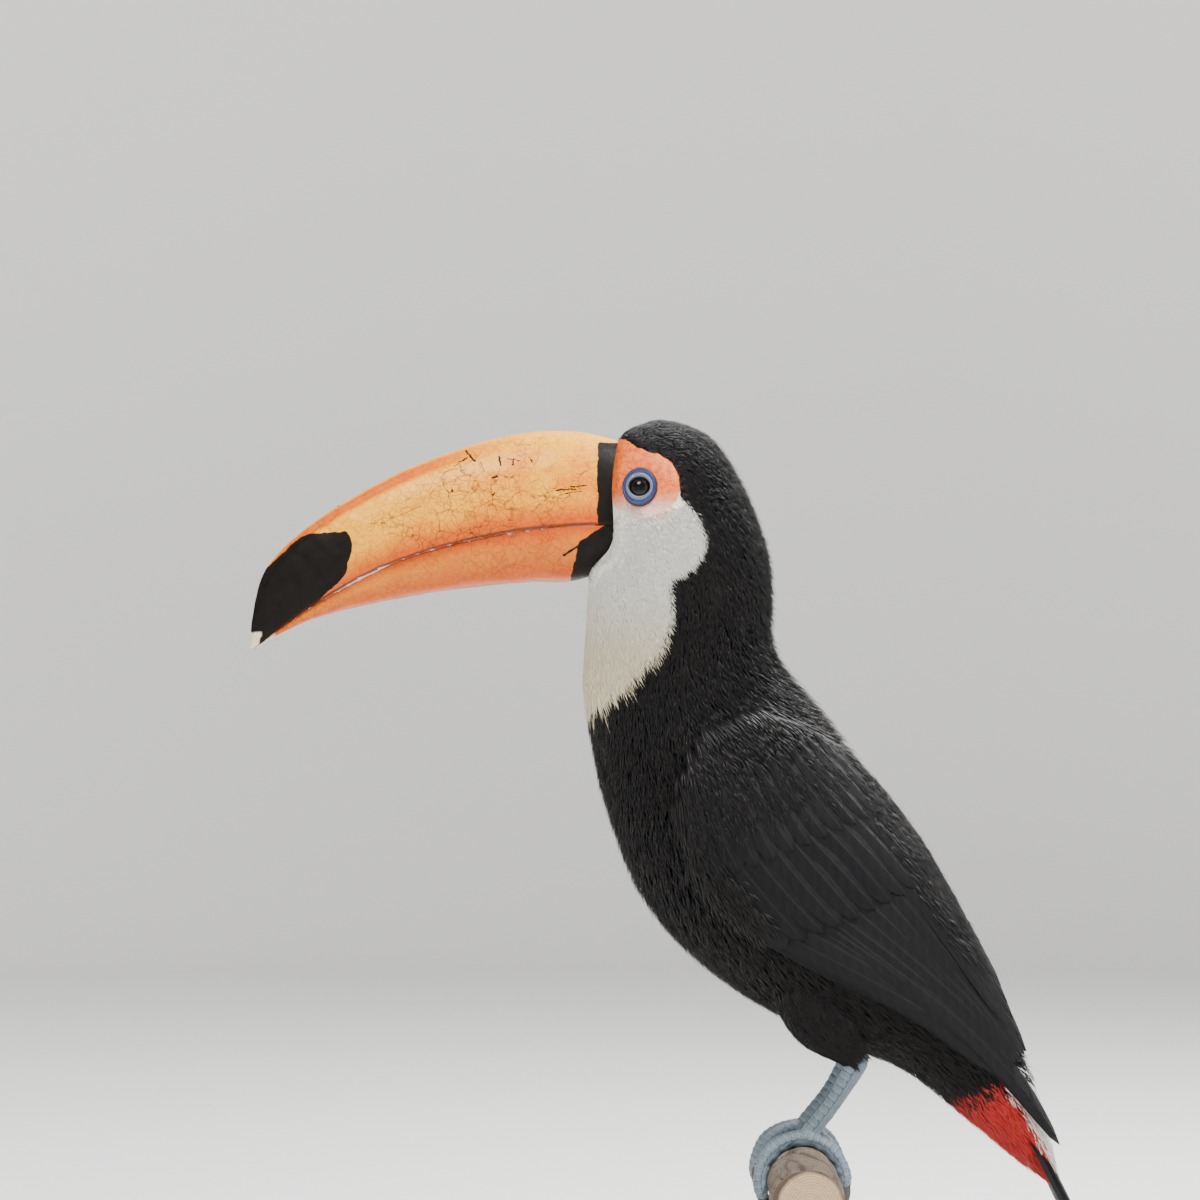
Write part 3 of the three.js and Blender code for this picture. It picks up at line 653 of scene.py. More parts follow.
def melted(name, shells, voxel, slot, node):
    """Closed tubes joined, remeshed into one surface and smoothed a little."""
    parts = []
    groups = []
    start = 0
    for shell in shells:
        points, faces = closed_tube(shell)
        faces = outward(points, faces)
        parts.append(points)
        groups += [group + start for group in faces]
        start += len(points)
    rough = make_piece(name + "_rough", np.concatenate(parts), groups, slot)
    remesh = rough.modifiers.new("melt", "REMESH")
    remesh.mode = "VOXEL"
    remesh.voxel_size = voxel / 1000
    smooth = rough.modifiers.new("smooth", "SMOOTH")
    smooth.iterations = 4
    smooth.factor = 0.5
    depsgraph = bpy.context.evaluated_depsgraph_get()
    mesh = bpy.data.meshes.new_from_object(rough.evaluated_get(depsgraph))
    bpy.data.objects.remove(rough)
    mesh.name = name
    mesh.polygons.foreach_set("use_smooth", np.full(len(mesh.polygons), True))
    return settle(bpy.data.objects.new(name, mesh), node)


def points_of(piece):
    """A piece's points in millimetres in the bird's own frame."""
    flat = np.empty(len(piece.data.vertices) * 3, np.float32)
    piece.data.vertices.foreach_get("co", flat)
    return flat.reshape(-1, 3).astype(float) * 1000 - (0, 0, LIFT)


skin = melted("skin", shells, VOXEL, "body_feathers",
              ["head", "neck", "trunk", "thigh_left", "thigh_right"])
skin_points = points_of(skin)
keep_mark(skin.data, "bib", outside_bib(skin_points))
keep_mark(skin.data, "bare", outside_bare(skin_points))
print("skin:", len(skin.data.polygons), "faces, in one piece")

# %% [markdown]
# ## Bill
# A toucan's bill is a light shell of horn over a foam of bone: two long mandibles, arched like boats, that
# meet in a cutting edge with shallow uneven teeth. An arch is a superellipse, a little boxier than an
# ellipse, carried from the face to the tip. The black base, the black tip and the small spur on the lower
# mandible are kept as distances to their borders, so that the borders stay sharp whatever the size of a
# face of the mesh.

# %% Sections of the bill
UPPER_BILL = np.array([  # ridge x and z, cutting edge x and z, half its width
    [-76, 303.5, -77, 267.3, 19.8], [-97.9, 308.9, -97.9, 267.3, 20.8],
    [-124.6, 308.2, -121, 265.4, 19.4], [-151.3, 301.3, -143, 261.6, 17.9],
    [-178, 291, -164, 256.4, 15.9], [-204.7, 276.5, -184.7, 249.1, 13.3],
    [-225.2, 262, -202.5, 240.2, 10.3], [-238.5, 246.6, -219, 230.4, 6.9],
    [-243.4, 229.4, -232.5, 220.6, 3.6], [-245, 212.6, -243.2, 212.2, 0.9]])
LOWER_BILL = np.array([  # keel x and z, and the same
    [-81, 252, -77, 266.5, 19.6], [-98.6, 242.7, -97.9, 266.5, 20.6],
    [-121, 241.8, -121, 264.6, 18.9], [-144, 239.7, -143, 260.8, 17],
    [-167, 236.6, -164, 255.6, 14.7], [-189, 232.5, -184.7, 248.3, 12],
    [-207, 228.2, -202.5, 239.4, 9], [-222, 223.3, -219, 229.6, 5.4],
    [-238.2, 215.4, -237.8, 216.4, 0.9]])
BOXY = 2 / 2.35  # the power that makes the arch a little boxier than an ellipse
PALATE = 0.18  # how deep the mouth's side is hollowed, as a share of the height


# %% Lumps, teeth and arches
def lumps(points, size, seed, layers=3):
    """Soft noise from about -1 to 1: sine waves in many directions, half as strong and twice as fine with
    each layer."""
    own = np.random.default_rng(seed)
    total = np.zeros(points.shape[:-1])
    for layer in range(layers):
        waves = own.normal(size=(7, 3))
        waves *= 2 * np.pi / size * 2**layer / np.linalg.norm(waves, axis=1, keepdims=True)
        total += np.sin(points @ waves.T + own.uniform(0, 6.3, 7)).sum(-1) / 3.2 / 2**layer
    return total


def teeth(run, seed):
    """How far a cutting edge is nicked at a run in millimetres along it: uneven steps that lean towards the
    tip, missing near the face, and one longer gap where the mandibles bow apart."""
    wave = run / 7.5 + 0.35 * np.sin(run / 13 + seed) + 0.2 * np.sin(run / 5.1)
    leaning = ease((wave % 1) ** 2, 0.3, 1.0)
    worn = 0.5 + 0.5 * np.sin(run / 17 + 2 * seed)
    bow = 0.55 * ease(run, 102, 114) * ease(run, 138, 122)
    return 0.75 * worn * leaning * ease(run, 16, 40) + bow - 0.42


def mandible(sections, rows, columns, seed):
    """Edge + (ridge - edge) times sin(turn) to the power BOXY upwards, half-width times cos(turn) to the
    same power sideways, and across the mouth a hollowed palate. The edge is drawn back by the teeth. Each
    section is first averaged with its neighbours, over and over, which evens the curves."""
    s = np.linspace(0, len(sections) - 1, rows)
    form = through(sections, s)
    for _ in range(60):
        form[1:-1] = (form[:-2] + 2 * form[1:-1] + form[2:]) / 4
    ridge, edge, half = form[:, None, 0:2], form[:, None, 2:4], form[:, None, 4]
    run = np.concatenate([[0], np.cumsum(np.linalg.norm(np.diff(form[:, 2:4], axis=0), axis=1))])[:, None]
    turn = np.linspace(0, np.pi, columns)[None]
    wide = np.sign(np.cos(turn)) * np.abs(np.cos(turn)) ** BOXY
    high = np.abs(np.sin(turn)) ** BOXY
    share = np.linspace(-1, 1, 24)[None, 1:-1]
    rise = ridge - edge
    length = np.linalg.norm(rise, axis=-1)
    nick = np.minimum(teeth(run, seed), 0.12 * length) / length
    up = np.concatenate([high + nick * (1 - high) ** 4, PALATE * (1 - share**2) + nick], 1)
    aside = np.concatenate([wide + 0 * run, share * 0.98 + 0 * run], 1)
    grid = edge + rise * up[..., None]
    points = np.stack([grid[..., 0], half * aside, grid[..., 1]], -1)
    arch = np.arange(up.shape[1]) < columns
    return points, np.where(arch, up, 0.0), run + 0 * up, arch[None] * (1 + 0 * up)


# %% The horn's relief
def horn_relief(points, up, run, arch, grooved):
    """The horn's relief: a soft groove on each side below the ridge, fine rings of growth, and lumps."""
    groove = -0.5 * grooved * np.exp(-(((up - 0.9) / 0.04) ** 2)) * ease(run, 30, 70) * ease(run, 205, 170)
    rings = 0.05 * np.sin(run / 2.3 + 0.8 * lumps(points, 40, 3, 1)) * ease(run, 100, 10)
    return arch * (groove + rings + 0.12 * lumps(points, 16, 5) - 0.12)


def along_normals(rings, relief):
    """Moves the points of a closed grid out along its normals, worked out from the neighbours both ways."""
    down = np.gradient(rings, axis=0)
    around = np.roll(rings, -1, axis=1) - np.roll(rings, 1, axis=1)
    normal = np.cross(down, around)
    normal /= np.maximum(np.linalg.norm(normal, axis=-1, keepdims=True), 1e-9)
    centre = rings.mean(axis=1, keepdims=True)
    flip = np.sign(np.einsum("ijk,ijk->i", normal, rings - centre))[:, None, None]
    return rings + normal * flip * relief[..., None]


# %% Where the horn is black or worn
def bill_tip(points, lower=False):
    """Millimetres outside the pale worn tip."""
    x, z = points[..., 0], points[..., 2]
    return x + 234.0 if lower else np.maximum(z - 219.6, x + 240.6 - 0.2 * (z - 215))


def upper_black(points):
    """Millimetres outside the black of the upper mandible: a band at its base and a patch at its tip."""
    x, z = points[..., 0], points[..., 2]
    band = -melt(x + 90.3 - 0.0009 * (z - 288) ** 2, 303.6 - z, 2.0)
    under_ridge = np.interp(x, [-245, -242, -235, -225.2, -215, -204.7],
                            [238, 243, 250.6, 259.6, 267.3, 274])
    tip = -melt(-(x + 199.6 + 0.9 * np.sin(z / 2.6)), 264.2 + (x + 203) * 0.05 - z, 3.0)
    tip = -melt(-tip, z - (247.4 + (x + 199) * 0.93), 3.0)
    tip = -melt(-tip, (under_ridge - z) * 0.75 + 6 * ease(z, 247, 241), 1.5)
    return np.minimum(band, np.maximum(tip, -0.3 - bill_tip(points)))


def lower_black(points):
    """Millimetres outside the black of the lower mandible: a patch at its base with a thin spur."""
    x, z = points[..., 0], points[..., 2]
    patch = -melt(x + 99.7 - (z - 254) * 0.2, (259.6 + (x + 98) * 0.66 - z) * 0.83, 1.5)
    start, step = np.array([-99.0, 257.5]), np.array([-5.8, -3.6])
    share = np.clip(((x - start[0]) * step[0] + (z - start[1]) * step[1]) / (step @ step), 0, 1)
    spur = np.hypot(x - start[0] - share * step[0], z - start[1] - share * step[1]) - 0.5 - 0.35 * share**6
    return np.minimum(patch, spur)


# %% The two mandibles
for name, sections, black, seed, lower in (("bill_upper", UPPER_BILL, upper_black, 1.0, False),
                                           ("bill_lower", LOWER_BILL, lower_black, 2.6, True)):
    rings, up, run, arch = mandible(sections, 330, 130, seed)
    rings = along_normals(rings, horn_relief(rings, up, run, arch, not lower))
    points, faces = closed_tube(rings)
    ends = [up[[0, -1]].mean(1), run[[0, -1]].mean(1), [0, 0]]
    marks = {"up": up, "run": run, "arch": arch}
    marks = {key: np.concatenate([value.ravel(), end]) for (key, value), end in zip(marks.items(), ends)}
    made = make_piece(name + "_horn", points, outward(points, faces), "bill", name, black=black(points),
                      tip=bill_tip(points, lower), **marks)
    print(made.name, len(made.data.polygons), "faces")

# %% [markdown]
# ## Eyes
# The eyeball is large, but only a window of it shows between the lids. It is dark brown round a black pupil
# under a wet, clear front. Round it run the bare lids: a pale rim set with small beads of skin, then a wide
# blue ring that ends in a crease. The rim and the ring are one profile turned round the eye. It is wider
# than high inside and higher than wide outside.

# %% Eyeballs, lids and rings
BALL = {"radius": 6.4, "proud": 1.5}
OPENING = (4.85, 4.35)  # half the opening's width and height
RING = (7.75, 8.6)  # half the blue ring's width and height
LID_PROFILE = np.array([  # share of the way from the opening to the ring's edge, and height over the face
    [-0.16, -1.6], [-0.12, -0.2], [-0.02, 0.62], [0.1, 0.98], [0.24, 1.02], [0.38, 0.86], [0.47, 0.6],
    [0.56, 0.62], [0.72, 0.74], [0.86, 0.62], [0.95, 0.3], [1.0, -0.25], [1.04, -1.3]])


def from_seat(side, fore, up, out):
    """Points by their distances from the eye's seat: towards the bill, upwards, and out of the head."""
    points = eye_seat + fore[..., None] * eye_fore + up[..., None] * eye_up + out[..., None] * eye_out
    return points * (1, side, 1)


def eyeball_rings(side, rows=60, columns=72):
    """A sphere in rings round the eye's axis: radius times sin and cos of the way from the front."""
    tilt, turn = np.meshgrid(np.linspace(0.02, np.pi - 0.02, rows),
                             np.linspace(0, 2 * np.pi, columns, False), indexing="ij")
    away = BALL["radius"] * np.sin(tilt)
    out = BALL["proud"] - BALL["radius"] + BALL["radius"] * np.cos(tilt)
    return from_seat(side, away * np.cos(turn), away * np.sin(turn), out), away, out


def lid_rings(side, rows=64, columns=216):
    """The lids' profile turned round the eye: each point of it keeps its share of the way between the
    opening's oval and the ring's oval. Two rows of beads stand on the rim, and wrinkles run outwards."""
    run = through(LID_PROFILE, np.linspace(0, len(LID_PROFILE) - 1, rows))
    share, high = run[:, :1], run[:, 1:]
    turn = np.linspace(0, 2 * np.pi, columns, False)[None]
    upper_lid = np.where(np.sin(turn) > 0, 0.22, 0.0) * np.abs(np.sin(turn)) * (share < 0.45)
    beads = np.exp(-(((share - 0.12) / 0.09) ** 2)) * np.cos(18 * turn) ** 2
    beads = beads + np.exp(-(((share - 0.32) / 0.08) ** 2)) * np.sin(18 * turn) ** 2
    wrinkles = np.cos(54 * turn + 3 * np.sin(5 * turn)) * np.exp(-(((share - 0.74) / 0.16) ** 2))
    folds = 0.1 * np.sin(share * 26 + 1.5 * np.sin(2 * turn))
    folds = folds * ease(share, 0.45, 0.6) * ease(share, 0.98, 0.85)
    out = high + 0.42 * beads + 0.07 * wrinkles + folds + upper_lid
    wide = OPENING[0] + (RING[0] - OPENING[0]) * share
    tall = OPENING[1] + (RING[1] - OPENING[1]) * share
    return from_seat(side, wide * np.cos(turn), tall * np.sin(turn), out), share + 0 * turn, beads


# %% Two eyes
for side, word in ((1, "left"), (-1, "right")):
    rings, away, out = eyeball_rings(side)
    points, faces = closed_tube(rings)
    away = np.concatenate([np.where(out > BALL["proud"] - BALL["radius"], away, 9).ravel(), [0, 9]])
    make_piece("eyeball_" + word, points, outward(points, faces), "eye", "eye_" + word, away=away)
    rings, share, beads = lid_rings(side)
    under = rings[::-1][[0, -1]] - (eye_out * (1, side, 1)) * 1.2
    loop = np.concatenate([rings, under[[0]], under[[1]]])
    rows, columns = loop.shape[:2]
    quads = grid_faces(rows, columns)
    last = grid_faces(2, columns)
    last = np.where(last < columns, last + (rows - 1) * columns, last - columns)
    marks = {"ring": np.concatenate([share, share[[-1]], share[[0]]]).ravel(),
             "bead": np.concatenate([beads, 0 * beads[:2]]).ravel()}
    faces = outward(loop, [quads, last])
    make_piece("lids_" + word, loop, faces, "eye_ring", "eye_ring_" + word, **marks)
print("eyes: balls of", 2 * BALL["radius"], "mm, openings of", 2 * OPENING[0], "by", 2 * OPENING[1], "mm")

# %% [markdown]
# ## Feathers: roots
# A bird's coat is thousands of small feathers that overlap like slates. Each needs a root on the skin, a
# way to lie, and a shape. Particle hair would do the scattering, but it isn't mesh, so here the roots are
# numbers too. They are spread with a running pair of fractions that never clumps. Each pair is turned into
# a place through the running total of area times density, so there are more where the feathers are smaller.


# %% Shapes that carry feathers
SPREAD = (0.7548776662, 0.5698402910)  # the two steps of the running pair of fractions


def on_body(s, turn, out=0.0):
    """The body as a shape that carries feathers."""
    return beyond(BODY, s, turn, out)


def on_cover(s, turn, out=0.0):
    """The surface under the folded wings, as another."""
    return beyond(COVER, s, turn, out)


def beyond(sections, s, turn, out=0.0):
    """A point of a shape that may lie past its last section, where it runs straight on."""
    last = len(sections) - 1.0
    over = np.maximum(s - last, 0)[..., None]
    end = wrap(sections, np.minimum(s, last), turn, out)
    step = end - wrap(sections, np.minimum(s, last) - 0.05, turn, out)
    return end + step * 20 * over


def slopes(shape, s, turn):
    """A place on a shape, and its two slopes there: millimetres for each section, and for each radian."""
    here = shape(s, turn)
    return here, (shape(s + 1e-3, turn) - here) / 1e-3, (shape(s, turn + 1e-3) - here) / 1e-3


# %% Roots spread over a shape
def scattered(shape, span, turns, density, seed, rows=260, columns=320):
    """Roots spread over a shape. density(points, s, turn) is in roots to a square millimetre."""
    own = np.random.default_rng(seed)
    s, turn = np.meshgrid(np.linspace(*span, rows), np.linspace(*turns, columns), indexing="ij")
    points = shape(s, turn)
    area = np.linalg.norm(np.cross(np.gradient(points, axis=0), np.gradient(points, axis=1)), axis=-1)
    weight = area * density(points, s, turn)
    count = int(weight.sum())
    k = np.arange(1, count + 1)
    first, second = (0.5 + SPREAD[0] * k) % 1, (0.5 + SPREAD[1] * k) % 1
    down = np.interp(first, np.concatenate([[0], np.cumsum(weight.sum(1)) / weight.sum()]),
                     np.arange(rows + 1))
    row = np.minimum(down.astype(int), rows - 1)
    within = np.cumsum(weight, axis=1)
    within = within / np.maximum(within[:, -1:], 1e-12) + np.arange(rows)[:, None]
    column = np.searchsorted(within.ravel(), row + np.clip(second, 1e-6, 1 - 1e-6)) - row * columns
    column = np.clip(column, 0, columns - 1)
    s_step, turn_step = (span[1] - span[0]) / (rows - 1), (turns[1] - turns[0]) / (columns - 1)
    s = span[0] + (down - 0.5) * s_step
    turn = turns[0] + (column + own.uniform(-0.5, 0.5, count)) * turn_step
    return np.clip(s, *span), turn


# %% [markdown]
# ## Feathers: tufts
# Near the head a toucan's feathers are loose and hair-like, and only the ends of their barbs show. So one
# feather is a tuft of a few blades that start together and spread. A blade has a ridge, so that it catches
# light like a hair, and is closed underneath. Its points are placed in the surface's own two directions,
# which bends every feather round the body, and its height grows from the skin at the root to the outline at
# the tip.


# %% A tuft of blades
def blades(count, rings):
    """The plan of a tuft: for each point its blade, how far along it is, and its place on the ridge or an
    edge, and the faces: (rings) triangles joined by quads, a cap at the root and a point at the tip."""
    along = np.append(np.repeat(np.linspace(0, 1, rings + 1)[:-1], 3), 1.0)
    edge = np.append(np.tile([-1.0, 0.0, 1.0], rings), 0.0)
    size = 3 * rings + 1
    base = 3 * np.arange(rings - 1)[:, None]
    quads = np.concatenate([base + [0, 1, 4, 3], base + [1, 2, 5, 4], base + [2, 0, 3, 5]])
    tip, last = size - 1, 3 * (rings - 1)
    triangles = np.array([[last, last + 1, tip], [last + 1, last + 2, tip], [last + 2, last, tip],
                          [0, 2, 1]])
    move = size * np.arange(count)[:, None, None]
    blade = np.repeat(np.arange(count), size)
    return (blade, np.tile(along, count), np.tile(edge, count), (quads + move).reshape(-1, 4),
            (triangles + move).reshape(-1, 3))


# %% Tufts on their roots
def plant(shape, s, turn, plan, length, width, depth, seed, twist=0.0, top=0.0, splay=0.35, loose=0.12):
    """Grows one tuft on every root. length, width and depth are single numbers or one for each root. A
    blade starts at the skin, depth under the shape, and rises to the shape, steeply first."""
    own = np.random.default_rng(seed)
    blade, along, edge, quads, triangles = plan
    count, size, blades_in = len(s), len(along), blade.max() + 1
    length, width, depth, top, twist, loose = (np.broadcast_to(v, (count,))[:, None]
                                               for v in (length, width, depth, top, twist, loose))
    share = (blade / max(blades_in - 1, 1)) * 2 - 1
    random = own.normal(size=(4, count, blades_in))[:, :, blade]
    reach = length * (1 - 0.22 * share**2 + 0.11 * random[0]) * own.uniform(0.85, 1.15, (count, 1))
    body = np.minimum(1.0, 1.7 * (1 - along)) ** 0.8 * (0.55 + 0.45 * np.minimum(1, along * 3))
    fan = share * (splay + (1 - splay) * along**0.8)
    across = width * (fan + 0.1 * random[1] * along + 0.62 / blades_in * 2 * edge * body)
    across = across + 0.06 * length * random[2] * along**2
    forward = reach * along
    angle = twist + own.normal(0, 0.11, (count, 1))
    fore = forward * np.cos(angle) - across * np.sin(angle)
    aside = forward * np.sin(angle) + across * np.cos(angle)
    here, down, around = slopes(shape, s, turn)
    normal = np.cross(around, down)
    # Painted highlight: how squarely the root faces the lamps above and behind the bird. The plumage finish
    # paints the blades that face them lighter.
    sky = ease(normal @ (0.45, 0, 0.89) / np.linalg.norm(normal, axis=1), 0.3, 0.95)
    here_length = np.linalg.norm(down, axis=1)
    lean = np.einsum("ij,ij->i", down, around) / here_length
    plumb = np.sqrt(np.maximum(np.einsum("ij,ij->i", around, around) - lean**2, 1e-6))
    turn_move = aside / plumb[:, None]
    s_move = (fore - turn_move * lean[:, None]) / here_length[:, None]
    rise = 1 - (1 - along) ** 1.6
    out = depth * (0.96 * rise - 1.04) + top + loose * depth * random[3] * along**2
    out = out + np.where(edge == 0, 0.3, 0.0) * width * 1.4 / blades_in * body * (along < 1)
    out = np.minimum(out, 0.2 + 2.2 * loose * random[3].clip(0) * along)
    points = shape(s[:, None] + s_move, turn[:, None] + turn_move, out)
    start = size * np.arange(count)[:, None, None]
    faces = [(quads + start).reshape(-1, 4), (triangles + start).reshape(-1, 3)]
    shade = 0.35 * own.uniform(0, 1, (count, 1)) + 0.65 * own.uniform(0, 1, (count, blades_in))[:, blade]
    marks = {"along": np.broadcast_to(along, (count, size)), "shade": shade,
             "sky": np.broadcast_to(sky[:, None], (count, size))}
    patch = np.stack([across / np.maximum(2 * width, 1e-6), along - 0.5 + 0 * across], -1)
    return points, faces, marks, patch, (here, s, turn)


# %% A piece of the coat
ROLL = 21.0  # how many sections of the unrolled body fill the layout's height
COVER_START = 9.0  # the body's section that the cover's first one lies on
PATCH = 0.003  # width of one feather in the layout


def coat_piece(name, slot, grown, unwrap=(ROLL, 0.0)):
    """Makes a coat piece of what was planted. Every tuft keeps the marks of its root. In the OFBake layout
    it lies at its root's place on the unrolled body, in a patch of its own. unwrap is the number of
    sections in the layout's height, and where it starts."""
    points, faces, marks, patch, (root, s, turn) = grown
    size = points.shape[1]
    marks = {mark: values.ravel() for mark, values in marks.items()}
    marks["bib"] = np.repeat(outside_bib(root), size)
    marks["bare"] = np.repeat(outside_bare(root), size)
    piece = make_piece(name, points, faces, slot, **marks)
    rolled = np.stack([0.5 + turn / (2 * np.pi) * 0.97, (s + unwrap[1]) / unwrap[0]], -1)
    spots = (rolled[:, None] + PATCH * np.clip(patch, -0.5, 0.5)).reshape(-1, 2)
    add_layout(piece, spots)
    triangles = sum(len(group) * (group.shape[1] - 2) for group in faces)
    print(name, len(s), "feathers,", triangles, "triangles")
    return piece


def add_layout(piece, spots):
    """The flat layout that a bake is painted on, given as a place for each point of the mesh."""
    corners = np.empty(len(piece.data.loops), np.int32)
    piece.data.loops.foreach_get("vertex_index", corners)
    layout = piece.data.uv_layers.new(name="OFBake")
    layout.uv.foreach_set("vector", np.asarray(spots, np.float32)[corners].ravel())


# %% [markdown]
# ## Coat of the head, neck and trunk
# The feathers are tiny on the face, longer behind the crown and longest on the back and breast. None grow
# on the bare skin round the eye, on the bill, or deep under the folded wings, but below the eye they come
# down to the horn and lie against it. Roots near the border of the bib keep the colour of the place they
# grow from, but their tips lie across it, and that frays it.


# %% Where feathers grow
def under_wing(s, turn, margin):
    """How deep a place is under the folded wing: above 0 inside it, in degrees of turn less a margin."""
    top = through(WING_TOP, s - COVER_START)[..., 0]
    bottom = through(WING_BOTTOM, s - COVER_START)[..., 0]
    turned = np.degrees(np.abs((turn + np.pi) % (2 * np.pi) - np.pi))
    inside = np.minimum(turned - top, bottom - turned) - margin
    return np.where((s > 9.6) & (s < 17.2), inside, -1.0)


def feathered(points, s, turn):
    """1 where feathers grow and 0 where they don't."""
    side, up = from_eye(points)
    edge = -0.4 + 3.4 * ease(points[..., 2], 274, 266)
    grows = (before_face(points) < edge) & (np.hypot(side / 8.3, up / 9.2) > 1)
    return grows & (under_wing(s, turn, 9.0) < 0)


FEATHER_GAP = np.array([1.25, 1.4, 1.55, 1.7, 1.85, 2.0, 2.1, 2.25, 2.4, 2.6, 2.9, 3.2, 3.4, 3.5, 3.5,
                        3.4, 3.4, 3.3, 3.2, 3.0, 2.8])  # on each section of the body
FACE_GAP = 1.25


def spacing(points, s):
    """Millimetres from one feather to the next."""
    head = through(FEATHER_GAP, s)[..., 0]
    face = face_share(points) * ease(points[..., 2], 185, 228)
    return head * (1 - face) + FACE_GAP * face


def density(points, s, turn):
    """Roots to a square millimetre: none on the bare skin, and crowded where the face meets the bill."""
    bare = outside_bare(points)
    low = ease(points[..., 2], 280, 268)
    thinned = ease(bare, -0.6 - 11 * low, 0.3 - 7.5 * low)
    above = ease(points[..., 2], 275, 281)
    thinned = np.where(outside_bib(points) < 0.7 * above, thinned * (1 - above), thinned)
    crowded = 1 + 1.6 * ease(before_face(points), -1.5, 0.2)
    return feathered(points, s, turn) * thinned * crowded / spacing(points, s) ** 2


# %% The coat, stretch by stretch
STRETCHES = [  # name, slot, first and last section, blades in a tuft, rings in a blade
    ("head_coat_front", "head_feathers", 0.0, 3.4, 5, 2),
    ("head_coat_back", "head_feathers", 3.4, 5.4, 5, 2),
    ("neck_coat", "bib_feathers", 5.4, 8.7, 5, 2),
    ("trunk_coat_upper", "body_feathers", 8.7, 12.8, 6, 3),
    ("trunk_coat_lower", "body_feathers", 12.8, 17.6, 6, 3)]
CROWN_TOP = 314.8  # no feather of the crown stands higher
for number, (name, slot, first, last, blade_count, ring_count) in enumerate(STRETCHES):
    s, turn = scattered(on_body, (first, last), (-np.pi, np.pi), density, 20 + number)
    root = on_body(s, turn)
    high, back = root[:, 2], np.cos(turn)  # back is 1 along the spine and -1 down the throat
    gap = spacing(root, s)
    depth = np.maximum(coat_depth(s, root), 0.8)
    white = face_share(root)
    crown = ease(high, 308, 313)
    swept = -0.55 * np.sin(turn) * ease(outside_bib(root), 2, -2) * ease(high, 266, 244)
    rough_top = 0.1 + 0.16 * ease(high, 285, 305) + 0.24 * ease(s, 2.6, 4.2) * ease(back, 0.3, 0.8)
    loose = rough_top * (1 - 0.7 * white * ease(back, -0.9, -0.6)) * (1 - 0.5 * crown)
    longer = 1 - 0.25 * ease(before_face(root), -3, 0) + 0.5 * white * ease(high, 246, 215)
    grown = plant(on_body, s, turn, blades(blade_count, ring_count), gap * 3.9 * longer,
                  gap * (0.98 + 0.2 * white), depth, 40 + number, twist=swept, top=-0.8 * crown,
                  loose=loose)
    grown[0][..., 2] = np.minimum(grown[0][..., 2], CROWN_TOP)
    coat_piece(name, slot, grown)

# %% [markdown]
# ## Thighs
# The thighs are feathered down to the ankle, in short soft tufts that point down the leg. They are a bent
# bar, so a place on one is how far down it is and how far round.


# %% Feathers of the thighs
def on_thigh(side):
    """A thigh's surface as a shape: s from 0 at the knee to 2 at the ankle, turn round it."""
    stations = thigh_stations(side)

    def shape(s, turn, out=0.0):
        """Middle line + radius times cos(turn) across it + radius times sin(turn) square to both."""
        s, turn, out = np.broadcast_arrays(np.asarray(s, float), turn, out)
        middle = through(stations, s)
        inner = np.clip(s, 0.01, 1.99)
        ahead = through(stations, inner + 0.01) - through(stations, inner - 0.01)
        ahead /= np.linalg.norm(ahead, axis=-1, keepdims=True)
        middle = middle + ahead * 18 * np.maximum(s - 2, 0)[..., None]
        across = np.array([0, 1.0, 0]) - ahead[..., 1:2] * ahead
        across /= np.linalg.norm(across, axis=-1, keepdims=True)
        radius = through(THIGH_RADII, s)[..., 0] - 2 * np.maximum(s - 2, 0) + out
        return middle + radius[..., None] * (
            np.cos(turn)[..., None] * across + np.sin(turn)[..., None] * np.cross(ahead, across))

    return shape


def thigh_density(points, s, turn):
    """Feathers of the thigh, closer together towards the ankle."""
    return 1 / (2.5 - 0.5 * ease(s, 1.2, 2.0)) ** 2


for side, word in ((1, "left"), (-1, "right")):
    s, turn = scattered(on_thigh(side), (0.1, 1.98), (-np.pi, np.pi), thigh_density, 31, 80, 120)
    grown = plant(on_thigh(side), s, turn, blades(5, 2), 2.5 * 3.6, 2.4, 2.2 - 0.8 * ease(s, 1.2, 2), 51)
    coat_piece("thigh_coat_" + word, "body_feathers", grown, unwrap=(60.0, 40 if side > 0 else 50))

# %% [markdown]
# ## Wings and tail: vanes
# Flight feathers are stiff blades with a shaft. Each is a thin closed lens here: wider behind than in
# front, a little arched, with a ridge along the shaft, and frayed where barbs have come apart. Its middle
# line runs over the wing's surface from root to tip, and its width is laid off along that surface, so the
# feathers wrap the flank. They overlap in a fixed order, which their heights keep: coverts on top,
# primaries underneath.


